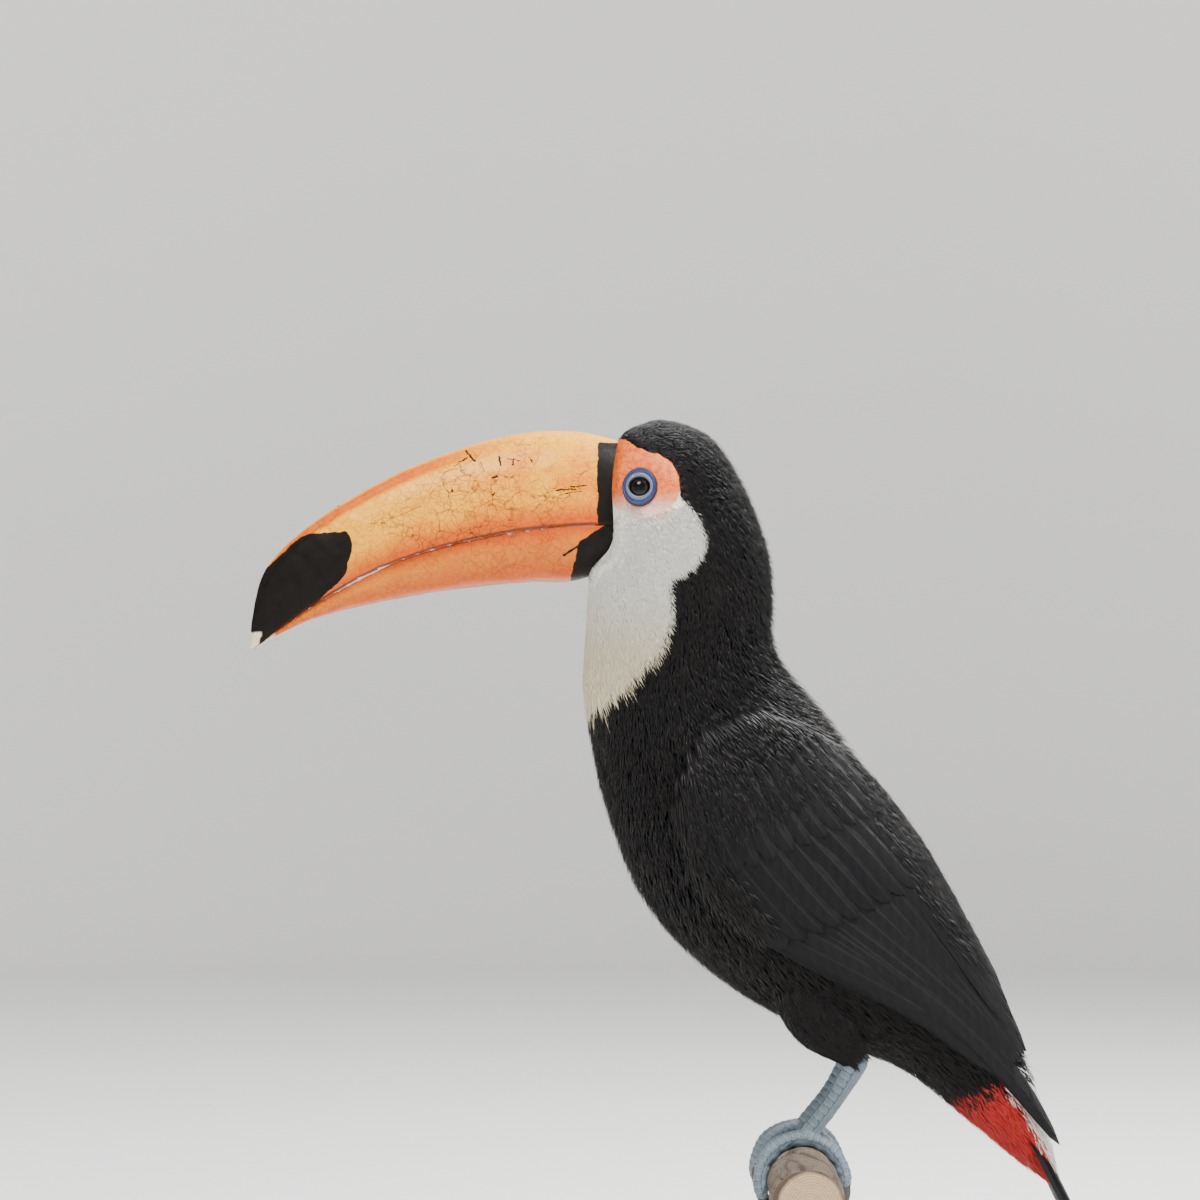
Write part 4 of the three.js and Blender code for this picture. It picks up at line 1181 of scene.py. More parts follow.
# %% A feather with a shaft
def vanes(middle, lay, width, lift, seed, rows=22, columns=7, thick=0.34, tip=0.3, ragged=0.5, lean=0.0):
    """Closed lenses along middle lines (count, rows, 2 or 3). lay(middle, across, out) places a point that
    is across millimetres beside the line and out over the surface. Half-width: rises fast from the quill,
    stays, and rounds off over the last share, tip. Each vane is arched, and leans across its width."""
    own = np.random.default_rng(seed)
    count = len(middle)
    t = np.linspace(0, 1, rows)[None, :, None]
    x = np.linspace(-1, 1, columns)[None, None]
    width, lift, lean = (np.broadcast_to(np.asarray(v, float), (count,))[:, None, None]
                         for v in (width, lift, lean))
    rounded = np.maximum(1 - np.maximum(0, (t - 1 + tip) / tip) ** 2.2, 0.0016)
    outline = (0.22 + 0.78 * ease(t, 0.0, 0.3)) * np.sqrt(rounded)
    phase = own.uniform(0, 6.3, (4, count, 1, 1))
    fray = np.maximum(0, np.sin(t * 23 + phase[0] + np.sign(x) * phase[1])) ** 9
    fray = fray + 0.4 * np.maximum(0, np.sin(t * 61 + phase[2] + np.sign(x))) ** 5
    edge = 1 - ragged * 0.16 * fray * ease(t, 0.25, 0.5)
    across = x * width * outline * np.where(np.abs(x) > 0.9, edge, 1.0)
    across = across + 0.04 * width * np.sin(phase[3] + 5 * t)
    arch = 0.55 * (1 - x**2) * np.minimum(1, width / 8)
    shaft = 0.3 * np.exp(-((x / 0.2) ** 2)) * (1 - 0.8 * t)
    wave = 0.12 * np.sin(9 * t + 3 * x + phase[0])
    out = lift + arch + shaft + wave + lean * x * width * outline
    body = thick * (1 - 0.5 * t) * (1 - 0.7 * x**2)
    top = lay(middle[:, :, None], across, out)
    under = lay(middle[:, :, None], across, out - body)
    rings = np.concatenate([top, under[:, :, ::-1]], axis=2)
    around = 2 * columns
    one = grid_faces(rows, around)
    caps = np.array([[i + 1, i, around - 1 - i, around - 2 - i] for i in range(columns - 1)])
    one = np.concatenate([one, caps, (caps + (rows - 1) * around)[:, ::-1]])
    size = rows * around
    faces = (one + size * np.arange(count)[:, None, None]).reshape(-1, 4)
    side = np.broadcast_to(np.concatenate([x, x[..., ::-1]], 2), (count, rows, around))
    run = np.broadcast_to(t, (count, rows, around))
    long = np.linalg.norm(np.diff(top[:, :, columns // 2], axis=1), axis=-1).sum(1)[:, None, None]
    marks = {"side": side, "wide": side * width, "long": run * long,
             "shade": np.broadcast_to(own.uniform(0, 1, (count, 1, 1)), side.shape)}
    points = rings.reshape(-1, 3)
    patch = np.stack([side * 0.45, run - 0.5], -1).reshape(count, -1, 2)
    return points, outward(points[:size], [one])[0] is one, faces, marks, patch


# %% Vanes laid over the wing
def vane_piece(name, slot, made, spots, node=None):
    """Makes a piece of many vanes. spots is each one's place in the OFBake layout."""
    points, right_way, faces, marks, patch = made
    faces = faces if right_way else faces[:, ::-1]
    piece = make_piece(name, points, [faces], slot, node, **{key: v.ravel() for key, v in marks.items()})
    add_layout(piece, (np.asarray(spots)[:, None] + PATCH * patch).reshape(-1, 2))
    print(name, len(spots), "feathers,", 2 * len(faces), "triangles")
    return piece


def over_wing(side):
    """Lays off distances over the wings' surface from a middle line of sections and degrees."""
    def lay(middle, across, out):
        """Solves for the two moves, in s and in turn, that add up to one millimetre beside the line."""
        s, turn = np.broadcast_arrays(middle[..., 0], side * np.radians(middle[..., 1]))
        line = on_cover(s[..., 0], turn[..., 0])
        ahead = np.gradient(line, axis=1)
        _, down, around = slopes(on_cover, s[..., 0], turn[..., 0])
        normal = np.cross(around, down)
        beside = np.cross(normal, ahead)
        beside /= np.linalg.norm(beside, axis=-1, keepdims=True)
        pairs = ((down, down), (down, around), (around, around), (beside, down), (beside, around))
        aa, ab, bb, da, db = (np.einsum("ijk,ijk->ij", p, q) for p, q in pairs)
        det = aa * bb - ab**2
        s_move, turn_move = (da * bb - db * ab) / det, (db * aa - da * ab) / det
        return on_cover(s[..., :1] + s_move[..., None] * across,
                        turn[..., :1] + turn_move[..., None] * across, out)
    return lay


def lines(roots, tips, rows=22):
    """Middle lines from roots to tips, both (count, 2) in sections and degrees."""
    t = np.linspace(0, 1, rows)[None, :, None]
    return roots[:, None] + (tips - roots)[:, None] * t


def fan(count, first, last):
    """Evenly spaced pairs from first to last."""
    share = np.linspace(0, 1, count)[:, None]
    first, last = np.array(first, float), np.array(last, float)
    return first + (last - first) * share


# %% The folded wings
# Name, count, root and tip of the first, of the last, half width, lift of both, share of the tip
WING_ROWS = [
    ("primaries", 9, (4.0, 119), (9.95, 40), (4.6, 84), (8.6, 60), 6.2, (-4.6, -3.0), 0.16),
    ("secondaries", 10, (3.6, 112), (8.35, 66), (3.2, 40), (8.2, 30), 7.6, (-3.6, -2.3), 0.2),
    ("tertials", 4, (3.2, 42), (7.9, 30), (2.9, 18), (7.0, 19), 8.6, (-2.0, -1.4), 0.28),
    ("greater_coverts", 11, (2.3, 108), (4.8, 107), (2.0, 36), (4.7, 24), 6.6, (-2.2, -1.3), 0.3),
    ("median_coverts", 12, (1.4, 103), (3.2, 110), (1.2, 38), (3.1, 26), 5.8, (-1.5, -0.9), 0.36)]
for side, word in ((1, "left"), (-1, "right")):
    lay = over_wing(side)
    for number, (name, count, root_a, tip_a, root_b, tip_b, half, lift, tip) in enumerate(WING_ROWS):
        roots, tips = fan(count, root_a, root_b), fan(count, tip_a, tip_b)
        lifts = np.linspace(*lift, count)
        made = vanes(lines(roots, tips), lay, half, lifts, 60 + number, tip=tip, lean=-0.035)
        spots = np.stack([0.5 + side * roots[:, 1] / 360, (roots[:, 0] + COVER_START) / ROLL], -1)
        vane_piece(name + "_" + word, "wing_feathers", made, spots,
                   ["primaries_" + word, "wing_" + word] if name == "primaries" else None)


# %% Small coverts of the wing
def wing_density(points, s, turn):
    """Roots of the small coverts: on the wing's front, and along its upper and its leading edge."""
    turned = np.degrees(np.abs(turn))
    top, bottom = through(WING_TOP, s)[..., 0], through(WING_BOTTOM, s)[..., 0]
    front = ease(s, 2.5, 1.7)
    upper = ease(s, 6.6, 5.0) * ease(turned, 44, 30)
    lower = ease(s, 4.6, 3.4) * ease(bottom - turned, 20, 13)
    inside = ease(turned, top + 1, top + 4) * ease(turned, bottom - 1, bottom - 5)
    return inside * np.maximum(np.maximum(front, upper), lower) / 3.1**2


for side, word in ((1, "left"), (-1, "right")):
    spread = (0.02, 2.2) if side > 0 else (-2.2, -0.02)
    s, turn = scattered(on_cover, (0.25, 6.6), spread, wing_density, 33)
    turned = np.degrees(np.abs(turn))
    rim = np.minimum(turned - through(WING_TOP, s)[:, 0], through(WING_BOTTOM, s)[:, 0] - turned)
    top = -2.4 * ease(rim, 9, 0) - 1.6 * ease(s, 1.2, 0.2)
    grown = plant(on_cover, s, turn, blades(6, 3), 3.1 * 4.0, 3.2, 4.2, 53, top=top)
    coat_piece("wing_coat_" + word, "wing_feathers", grown, unwrap=(ROLL, COVER_START))

# %% [markdown]
# ## Tail
# Ten straight feathers, each under the one nearer the middle, graded so that the outer ones end first. They
# lie in a flat fan that droops at its sides. Short coverts hide their roots: white above, red below.

# %% Tail feathers
TAIL = {"root": (84.0, 34.0), "slope": 63.0, "length": 164.0, "arch": 2.4,
        "half": [12, 17, 21.5, 24, 25.8, 27, 27.6, 26, 19]}


def on_tail(middle, across, out):
    """A point of the tail's plane: middle[..., 0] millimetres down it and middle[..., 1] to the bird's
    left, with across added to that, and out over the plane, which droops by the square of that distance."""
    slope = math.radians(TAIL["slope"])
    run = np.broadcast_arrays(middle[..., 0], across, out)[0]
    aside = middle[..., 1] + across
    half = through(TAIL["half"], run / TAIL["length"] * 8)[..., 0]
    rise = out - TAIL["arch"] * (aside / half) ** 2
    return np.stack([TAIL["root"][0] + math.cos(slope) * run + math.sin(slope) * rise, -aside + 0 * rise,
                     TAIL["root"][1] - math.sin(slope) * run + math.cos(slope) * rise], -1)


rank = np.array([0.5, 1.5, 2.5, 3.5, 4.5])
order = np.concatenate([-rank[::-1], rank])
t = np.linspace(0, 1, 30)[None]
ends = 162.7 - 0.6 * np.abs(order) - 0.3 * order**2
spread = order[:, None] * (1.6 + 2.2 * ease(t, 0, 0.8) - 0.5 * ease(t, 0.8, 1.0))
tail_lines = np.stack([18 + (ends[:, None] - 18) * t, spread], -1)
made = vanes(tail_lines, on_tail, 9.4, 1.5 - 0.62 * np.abs(order), 70, rows=30, tip=0.09, thick=0.5,
             ragged=0.7, lean=-0.02 * np.sign(order))
spots = np.stack([0.5 + order / 60, np.full(10, 0.97)], -1)
vane_piece("tail_feathers", "tail_feathers", made, spots, "tail")

# %% Tail coverts
COVERT_ROWS = [  # name, and the first and last angle round the tail's root
    ("tail_coat_upper", -1.25, 1.25), ("tail_coat_under", 1.25, 2 * np.pi - 1.25)]
for number, (name, low, high) in enumerate(COVERT_ROWS):
    s, turn = scattered(on_body, (17.4, 19.7), (low, high), lambda points, s, turn: 1 / 2.9**2 + 0 * s,
                        80 + number, 120, 160)
    grown = plant(on_body, s, turn, blades(6, 3), 13.0, 2.9, coat_depth(s, on_body(s, turn)), 82 + number)
    coat_piece(name, "body_feathers", grown)

# %% [markdown]
# ## Feet
# A toucan grips with two toes forwards and two back. Each foot is five bars, one for the shank and one for
# each toe, melted into one piece like the skin. Then it gets its scales: broad plates down the front of the
# shank and over the toes, which are steps in the distance along the nearest bar, and small pads under the
# toes.

# %% Bars of the feet
PERCH = {"radius": 16.0, "axis": -22.0, "length": 170.0, "bend": 3.0, "taper": 1.6}
FOOT_APART = 22.0
TOES = {  # how far round the branch in degrees from its top, how far sideways, how thick
    "inner_front": (88, -9, 3.5), "outer_front": (116, 8, 3.7), "inner_back": (-66, -9, 3.3),
    "outer_back": (-100, 8, 3.6)}


def beside_perch(turn, far, aside):
    """A point far from the branch's axis, turn degrees forwards from its top, aside mm to the left."""
    angle = np.radians(turn)
    return np.stack([-np.sin(angle) * far, -aside + 0 * angle, np.cos(angle) * far + PERCH["axis"]], -1)


def smoothly(stations, rows):
    """Points spaced evenly on the smooth line through stations."""
    return through(stations, np.linspace(0, len(stations) - 1, rows))


def shank_line(rows=60):
    """From above the ankle down to the sole, with a radius for each point."""
    ankle, sole = np.array([24, FOOT_APART + 1, 30.5]), np.array([3, FOOT_APART, -1.5])
    points = [ankle + (-3.4, 0, 3), ankle, (ankle + sole) / 2 + (1.6, 0, 0), sole]
    return smoothly(points, rows) * (1, -1, 1), smoothly([4.68, 5.1, 3.8, 4.2], rows)[:, 0]


def toe_line(arc, side, thick, rows=60):
    """Round the branch from its top, spreading sideways, with pads between the joints."""
    share = np.linspace(0, 1, 6)
    far = PERCH["radius"] + thick * (0.98 - 0.24 * share) - 0.35
    aside = FOOT_APART + side * share**0.8 + np.sign(side) * 1.5
    points = beside_perch(share * arc, far, aside)
    radii = thick * smoothly([1.06, 0.95, 1.02, 0.86, 0.92, 0.74], rows)[:, 0]
    rounded = np.sqrt(1 - 0.8 * ease(np.linspace(0, 1, rows), 0.92, 1) ** 2)
    return smoothly(points, rows), radii * rounded


# %% Claws
def claw_rings(arc, side, thick, rows=44, columns=28):
    """A horn drawn out along an arc round the branch: deeper than wide, and flatter underneath."""
    share = np.linspace(0, 1, rows)
    root = thick * 0.74 - 0.1
    far = PERCH["radius"] + root * (1 - share) + 0.9 * share + 1.9 * np.sin(np.pi * share)
    aside = FOOT_APART + side + np.sign(side) * 1.5 + 0 * share
    path = beside_perch(arc + np.sign(arc) * (42 * share - 6), far, aside)
    turn = np.linspace(0, 2 * np.pi, columns, endpoint=False)
    size = (thick * 0.6) * (1 - share) ** 0.6 + 0.25
    shape = 1 - 0.22 * np.cos(turn) ** 2 + 0.04 * np.cos(3 * turn)
    ridge = 1 + 0.05 * np.cos(2 * turn) * (1 - share[:, None])
    return tube_path(path, size[:, None] * shape[None] * ridge, columns)


# %% Scales
def scales(points, bars):
    """Relief of a foot: each point belongs to the bar that it is nearest to, counted from the bar's
    surface. On the upper side the plates are steps along the bar, and underneath there are round pads."""
    best = np.full(len(points), 1e9)
    relief = np.zeros(len(points))
    plate_mark = np.zeros(len(points))
    for path, radii, above, pitch, pad in bars:
        run = np.concatenate([[0], np.cumsum(np.linalg.norm(np.diff(path, axis=0), axis=1))])
        away = np.linalg.norm(points[:, None] - path[None], axis=-1)
        near = away.argmin(1)
        gap = away[np.arange(len(points)), near] - radii[near]
        ahead = np.gradient(path, axis=0)[near]
        ahead /= np.linalg.norm(ahead, axis=1, keepdims=True)
        out = points - path[near]
        exact = run[near] + np.einsum("ij,ij->i", out, ahead)
        out -= np.einsum("ij,ij->i", out, ahead)[:, None] * ahead
        out /= np.maximum(np.linalg.norm(out, axis=1, keepdims=True), 1e-6)
        up = above(points) if callable(above) else np.broadcast_to(above, points.shape)
        facing = np.einsum("ij,ij->i", out, up / np.linalg.norm(up, axis=-1, keepdims=True))
        step = (exact / pitch) % 1
        plates = 0.55 * np.minimum(1, step * 5) * (1 - 0.6 * step) - 0.2
        pebbles = 0.14 * lumps(points, 2.6, 9, 1)
        front = ease(facing, -0.15, 0.3)
        pads = pad * np.sin(exact * 2 * np.pi / 7.5) * ease(facing, -0.3, -0.8)
        own = plates * front + (pebbles + pads) * (1 - front)
        nearer = gap < best
        best = np.where(nearer, gap, best)
        relief = np.where(nearer, own, relief)
        plate_mark = np.where(nearer, front * step, plate_mark)
    return relief - 0.16, plate_mark


def off_perch(points):
    """The way straight out from the branch's axis."""
    return (points - (0, 0, PERCH["axis"])) * (1, 0, 1)


# %% Two feet and eight claws
for side, word in ((1, "left"), (-1, "right")):
    lines_here = [(*shank_line(), np.array([-0.8, 0, 0.5]), 3.6, 0.0)]
    lines_here += [(*toe_line(*toe), off_perch, 2.7, 0.3) for toe in TOES.values()]
    shells = [tube_path(path * (1, side, 1), radii, 20) for path, radii, *_ in lines_here]
    foot = melted("scaly_foot_" + word, shells, 0.62, "leg_skin", "foot_" + word)
    points = points_of(foot)
    relief, plate = scales(points * (1, side, 1), lines_here)
    normals = np.empty(len(points) * 3, np.float32)
    foot.data.vertices.foreach_get("normal", normals)
    points = points + normals.reshape(-1, 3) * relief[:, None]
    foot.data.vertices.foreach_set("co", ((points + (0, 0, LIFT)) / 1000).astype(np.float32).ravel())
    keep_mark(foot.data, "plate", plate)
    foot.data.update()
    for toe, (arc, aside, thick) in TOES.items():
        points, faces = closed_tube(claw_rings(arc, aside, thick) * (1, side, 1))
        name = "claw_" + word + "_" + toe
        make_piece("horn_" + name, points, outward(points, faces), "claw", name)
    print("foot", word, len(foot.data.polygons), "faces")

# %% [markdown]
# ## Branch and stand
# The branch is sawn off on both sides, so it has two finishes: bark with long cracks, and end grain with
# rings. The stand is the plainest that will hold it: a rounded board and two steel rods.


# %% The branch
def branch(rows=300, columns=220, cut=26):
    """Radius times cos and sin of the turn round a line along y that sags to its ends, less the bark's
    cracks, which are folds of noise drawn out along the branch. The sawn ends are discs of rings."""
    share, turn = np.meshgrid(np.linspace(0, 1, rows), np.linspace(0, 2 * np.pi, columns, False),
                              indexing="ij")
    y = (share - 0.5) * PERCH["length"]
    near = ease(np.abs(y), FOOT_APART + 16, FOOT_APART + 34)
    swell = 1 + 0.02 * np.sin(share * 17) - PERCH["taper"] / PERCH["radius"] * (share - 0.5) * 0.5
    radius = PERCH["radius"] * (1 + (swell * (1 + 0.012 * np.sin(3 * turn + share * 9)) - 1) * near)
    round_place = np.stack([16 * np.cos(turn), 0.22 * y, 16 * np.sin(turn)], -1)
    cracks = 1 - np.abs(lumps(round_place, 15, 12, 2)) ** 0.5
    knots = 0.4 * lumps(np.stack([16 * np.cos(turn), y, 16 * np.sin(turn)], -1), 24, 13, 2)
    depth = 0.35 + 0.55 * np.maximum(cracks, 0) + 0.35 * np.maximum(-knots, 0)
    rim = ease(PERCH["length"] / 2 - np.abs(y), 0, 1.2)
    far = radius - depth - 0.5 * (1 - rim)
    sag = -PERCH["bend"] * near * (2 * share - 1) ** 2
    bark = np.stack([far * np.cos(turn), y, far * np.sin(turn) + PERCH["axis"] + sag], -1)
    middle = np.array([[0, -1, 0], [0, 1, 0]]) * PERCH["length"] / 2 + (0, 0, PERCH["axis"] - PERCH["bend"])
    inward = np.linspace(1, 0.02, cut)[:, None, None]
    first = middle[0] + (bark[0] - middle[0]) * inward[::-1]
    last = middle[1] + (bark[-1] - middle[1]) * inward
    rings = np.concatenate([first[:-1], bark, last[1:]])
    ends = np.zeros(rings.shape[:2])
    ends[:cut - 1] = 1
    ends[-(cut - 1):] = 1
    deep = np.concatenate([np.zeros((cut - 1, columns)), depth, np.zeros((cut - 1, columns))])
    return rings, ends, deep


rings, ends, deep = branch()
points, faces = closed_tube(rings)
make_piece("branch", points, outward(points, faces), "bark", "perch",
           sawn=np.append(ends.ravel(), [1, 1]), crack=np.append(deep.ravel(), [0, 0]))

# %% The board and the rods
BASE = {"length": 210.0, "width": 180.0, "thick": 16.0, "corner": 26.0, "bevel": 2.5}


def board(corner_steps=16, edge_steps=10):
    """A rounded rectangle, drawn in along a quarter circle at its upper and lower edges."""
    quarter = np.linspace(0, np.pi / 2, corner_steps)
    x, y = BASE["length"] / 2 - BASE["corner"], BASE["width"] / 2 - BASE["corner"]
    turn = np.concatenate([quarter + i * np.pi / 2 for i in range(4)])
    middle = np.repeat([[x, y], [-x, y], [-x, -y], [x, -y]], corner_steps, axis=0)
    roll = np.linspace(0, np.pi / 2, edge_steps)
    inset = np.concatenate([BASE["bevel"] * (1 - np.sin(roll)), BASE["bevel"] * (1 - np.cos(roll))])
    level = np.concatenate([BASE["bevel"] * (1 - np.cos(roll)),
                            BASE["thick"] - BASE["bevel"] * (1 - np.sin(roll))])
    away = BASE["corner"] - inset[:, None]
    outline = middle + away[..., None] * np.stack([np.cos(turn), np.sin(turn)], -1)[None]
    rings = np.concatenate([outline, np.broadcast_to(level[:, None, None], (*outline.shape[:2], 1))], -1)
    shrink = np.linspace(1, 0.02, 8)[1:, None, None]
    lower = rings[0] * (np.ones(3) * shrink[::-1] + (0, 0, 1) * (1 - shrink[::-1]))
    upper = rings[-1] * (np.ones(3) * shrink + (0, 0, 1) * (1 - shrink))
    return np.concatenate([lower, rings, upper])


points, faces = closed_tube(board())
make_piece("stand_board", points, outward(points, faces), "stand_wood", "stand_base", lift=0)
for number, y in ((1, -48.0), (2, 48.0)):
    low, high = BASE["thick"] + 0.3, LIFT + PERCH["axis"] - PERCH["radius"] + 6
    level = np.concatenate([[low, low, low + 2.0, low + 2.6], np.linspace(low + 2.7, high, 40)])
    radii = np.concatenate([[3.9, 4.0, 4.0, 3.8], np.full(40, 3.8)])
    path = np.stack([0 * level, y + 0 * level, level], -1)
    path[0, 2] -= 0.001
    turn = np.linspace(0, 2 * np.pi, 48, endpoint=False)
    rings = path[:, None] + radii[:, None, None] * np.stack([np.cos(turn), np.sin(turn), 0 * turn], -1)
    points, faces = closed_tube(rings)
    make_piece("stand_steel_" + str(number), points, outward(points, faces), "stand_steel",
               "stand_rod_" + str(number), lift=0)
print("branch and stand made")

# %% [markdown]
# ## Finishes: feathers and skin
# Black feathers are never plain black. Melanin in the barbs gives a low warm gloss, and the worn tips are a
# little browner. White ones shade to cream at their roots. One finish serves every coat piece and the skin
# below, since all of them keep the same distances to the borders of the markings.

# %% Plumage
WHITE = (0.80, 0.785, 0.72)
CREAM = (0.74, 0.66, 0.45)
BLACK = (0.0045, 0.0045, 0.0055)
WORN_BLACK = (0.013, 0.011, 0.010)
BARE = (0.76, 0.15, 0.005)
BARE_DEEP = (0.50, 0.055, 0.004)


def plumage(name, skin_only=False):
    """Feathers coloured by the marks of their roots: white in the bib, black outside it."""
    finish = Finish(name)
    place = finish.place()
    fine = finish.noise(place, 900, 2)
    broad = finish.noise(place, 45, 3)
    shade = finish.noise(place, 260, 2) if skin_only else finish.mark("shade")
    along = broad * 0 + 0.4 if skin_only else finish.mark("along")
    height = finish.part(place, 2)
    white = finish.mix(finish.ease(height, 0.385, 0.345), WHITE, CREAM)
    white = finish.mix(finish.ease(along, 0.55, 0.05) * 0.7 + shade * 0.12, white, (0.70, 0.67, 0.58))
    white = finish.mix(finish.ease(shade, 0.45, 0.95) * 0.35, white, (0.52, 0.49, 0.42))
    black = finish.mix(shade * 0.55 + broad * 0.35, BLACK, WORN_BLACK)
    black = finish.mix(finish.ease(along, 0.5, 0.0) * 0.6, black, (0.004, 0.004, 0.004))
    # Painted highlight: blades that face the lamps above and behind are painted lighter, the more so the
    # more squarely they face them.
    sky = broad * 0 if skin_only else finish.mark("sky")
    painted_glint = finish.ease(shade + sky * 0.36, 0.84, 1.06) * finish.ease(along, 0.3, 0.8)
    black = finish.mix(painted_glint * 0.85, black, finish.mix(sky, (0.020, 0.018, 0.017), (0.065, 0.062, 0.058)))
    colour = finish.mix(finish.ease(finish.mark("bib"), -0.5, 0.5), white, black)
    skin = finish.mix(finish.ease(finish.noise(place, 420, 4), 0.35, 0.7), BARE, BARE_DEEP)
    pale = finish.mix(finish.ease(height, 0.427, 0.411), skin, finish.mix(0.8, skin, WHITE))
    starts, ends = (0.6, -0.6) if skin_only else (-1.0, -3.0)
    colour = finish.mix(finish.ease(finish.mark("bare"), starts, ends), colour, pale)
    rough = 0.40 + fine * 0.2
    if skin_only:
        pebbles = finish.cells(place, 1500)
        folds = finish.noise(finish.stretch(place, (1, 1, 2.4)), 330, 4)
        return finish.surface(colour, rough, folds * 0.7 - pebbles * 0.5, 0.0004, 0.9)
    return finish.surface(colour, rough, specular=0.2)


coat_with(skin, plumage("skin", skin_only=True))
coat = plumage("plumage")
for piece in list(bpy.data.objects):
    if "_coat" in piece.name and not piece.name.startswith("tail"):
        coat_with(piece, coat)
print("plumage on", coat.users, "pieces")


# %% Coverts of the tail
def covert_finish(name, tip, root):
    """The two plain colours at the tail's root."""
    finish = Finish(name)
    shade = finish.mark("shade")
    colour = finish.mix(finish.ease(finish.mark("along"), 0.7, 0.1) + shade * 0.15, tip, root)
    return finish.surface(colour, 0.5 + shade * 0.15)


coat_with(bpy.data.objects["tail_coat_upper"], covert_finish("white_coverts", WHITE, (0.5, 0.46, 0.4)))
coat_with(bpy.data.objects["tail_coat_under"],
          covert_finish("red_coverts", (0.52, 0.012, 0.008), (0.2, 0.01, 0.008)))


# %% Vanes of the wings and the tail
def vane_finish():
    """A black vane: barbs run out from the shaft at half a right angle, and some shine more."""
    finish = Finish("vane")
    side, wide, long = finish.mark("side"), finish.mark("wide"), finish.mark("long")
    slant = long - wide.math("ABSOLUTE") * 1.1
    barbs = (slant * 7.4).math("SINE") * 0.5 + 0.5
    broken = finish.noise(finish.place(), 350, 3)
    groups = (slant * 0.9 + broken * 5).math("SINE") * 0.5 + 0.5
    shaft = finish.ease(side.math("ABSOLUTE"), 0.09, 0.04)
    edge = finish.ease(side.math("ABSOLUTE"), 0.75, 1.0)
    tone = finish.mark("shade") * 0.35 + groups * 0.25 + edge * 0.35
    colour = finish.mix(tone, (0.003, 0.003, 0.0042), (0.010, 0.009, 0.009))
    colour = finish.mix(shaft * 0.5, colour, (0.016, 0.013, 0.012))
    height = barbs * 0.7 + groups * 0.5 + shaft * 1.2
    return finish.surface(colour, 0.44 + broken * 0.2 - shaft * 0.08, height, 0.00014, 0.7, specular=0.13)


vane = vane_finish()
VANED = ("primaries_", "secondaries_", "tertials_", "greater_", "median_", "tail_feathers")
for piece in list(bpy.data.objects):
    if piece.name.startswith(VANED) and piece.name not in frame["nodes"]:
        coat_with(piece, vane)
print("finishes so far:", len(bpy.data.materials))

# %% [markdown]
# ## Finishes: horn, eyes and skin of the feet
# The bill's horn is half clear: a net of fine cracks and veins shows in it, its colour deepens towards the
# cutting edges, and old knocks have left dark streaks. Painted shade darkens the groove below the ridge,
# the upper cutting edge and the lower keel, and painted highlights lighten the ridge near the base and the
# middle of the mandibles. It is waxed rather than glossy.

# %% Colours and scars of the horn
AMBER = (0.80, 0.22, 0.002)
PALE_AMBER = (0.90, 0.39, 0.012)
DEEP_ORANGE = (0.56, 0.05, 0.001)
SCARS = [  # two ends in the side view, in the bird's own millimetres, and half its width
    ((-148.5, 300.2), (-144.5, 295.4), 0.75), ((-133.6, 297.5), (-133.0, 293.5), 0.6),
    ((-127.2, 296.5), (-127.6, 293.8), 0.5), ((-134.5, 288.6), (-136.4, 288.0), 0.7),
    ((-154.5, 282.6), (-154.2, 282.2), 0.7), ((-135.6, 281.6), (-136.3, 280.4), 0.55),
    ((-108.5, 282.4), (-100.0, 283.0), 0.5), ((-102.0, 283.8), (-95.0, 284.6), 0.45),
    ((-151.5, 295.0), (-147.6, 297.0), 0.35), ((-153.5, 293.2), (-151.0, 294.6), 0.3),
    ((-130.2, 296.6), (-124.6, 295.6), 0.25), ((-141.8, 295.0), (-140.0, 290.6), 0.25),
    ((-206.2, 276.4), (-205.4, 275.8), 0.7), ((-186.0, 268.0), (-168.0, 275.5), 0.16),
    ((-104.5, 281.0), (-97.0, 282.0), 0.25), ((-120.5, 297.4), (-118.6, 294.6), 0.2)]


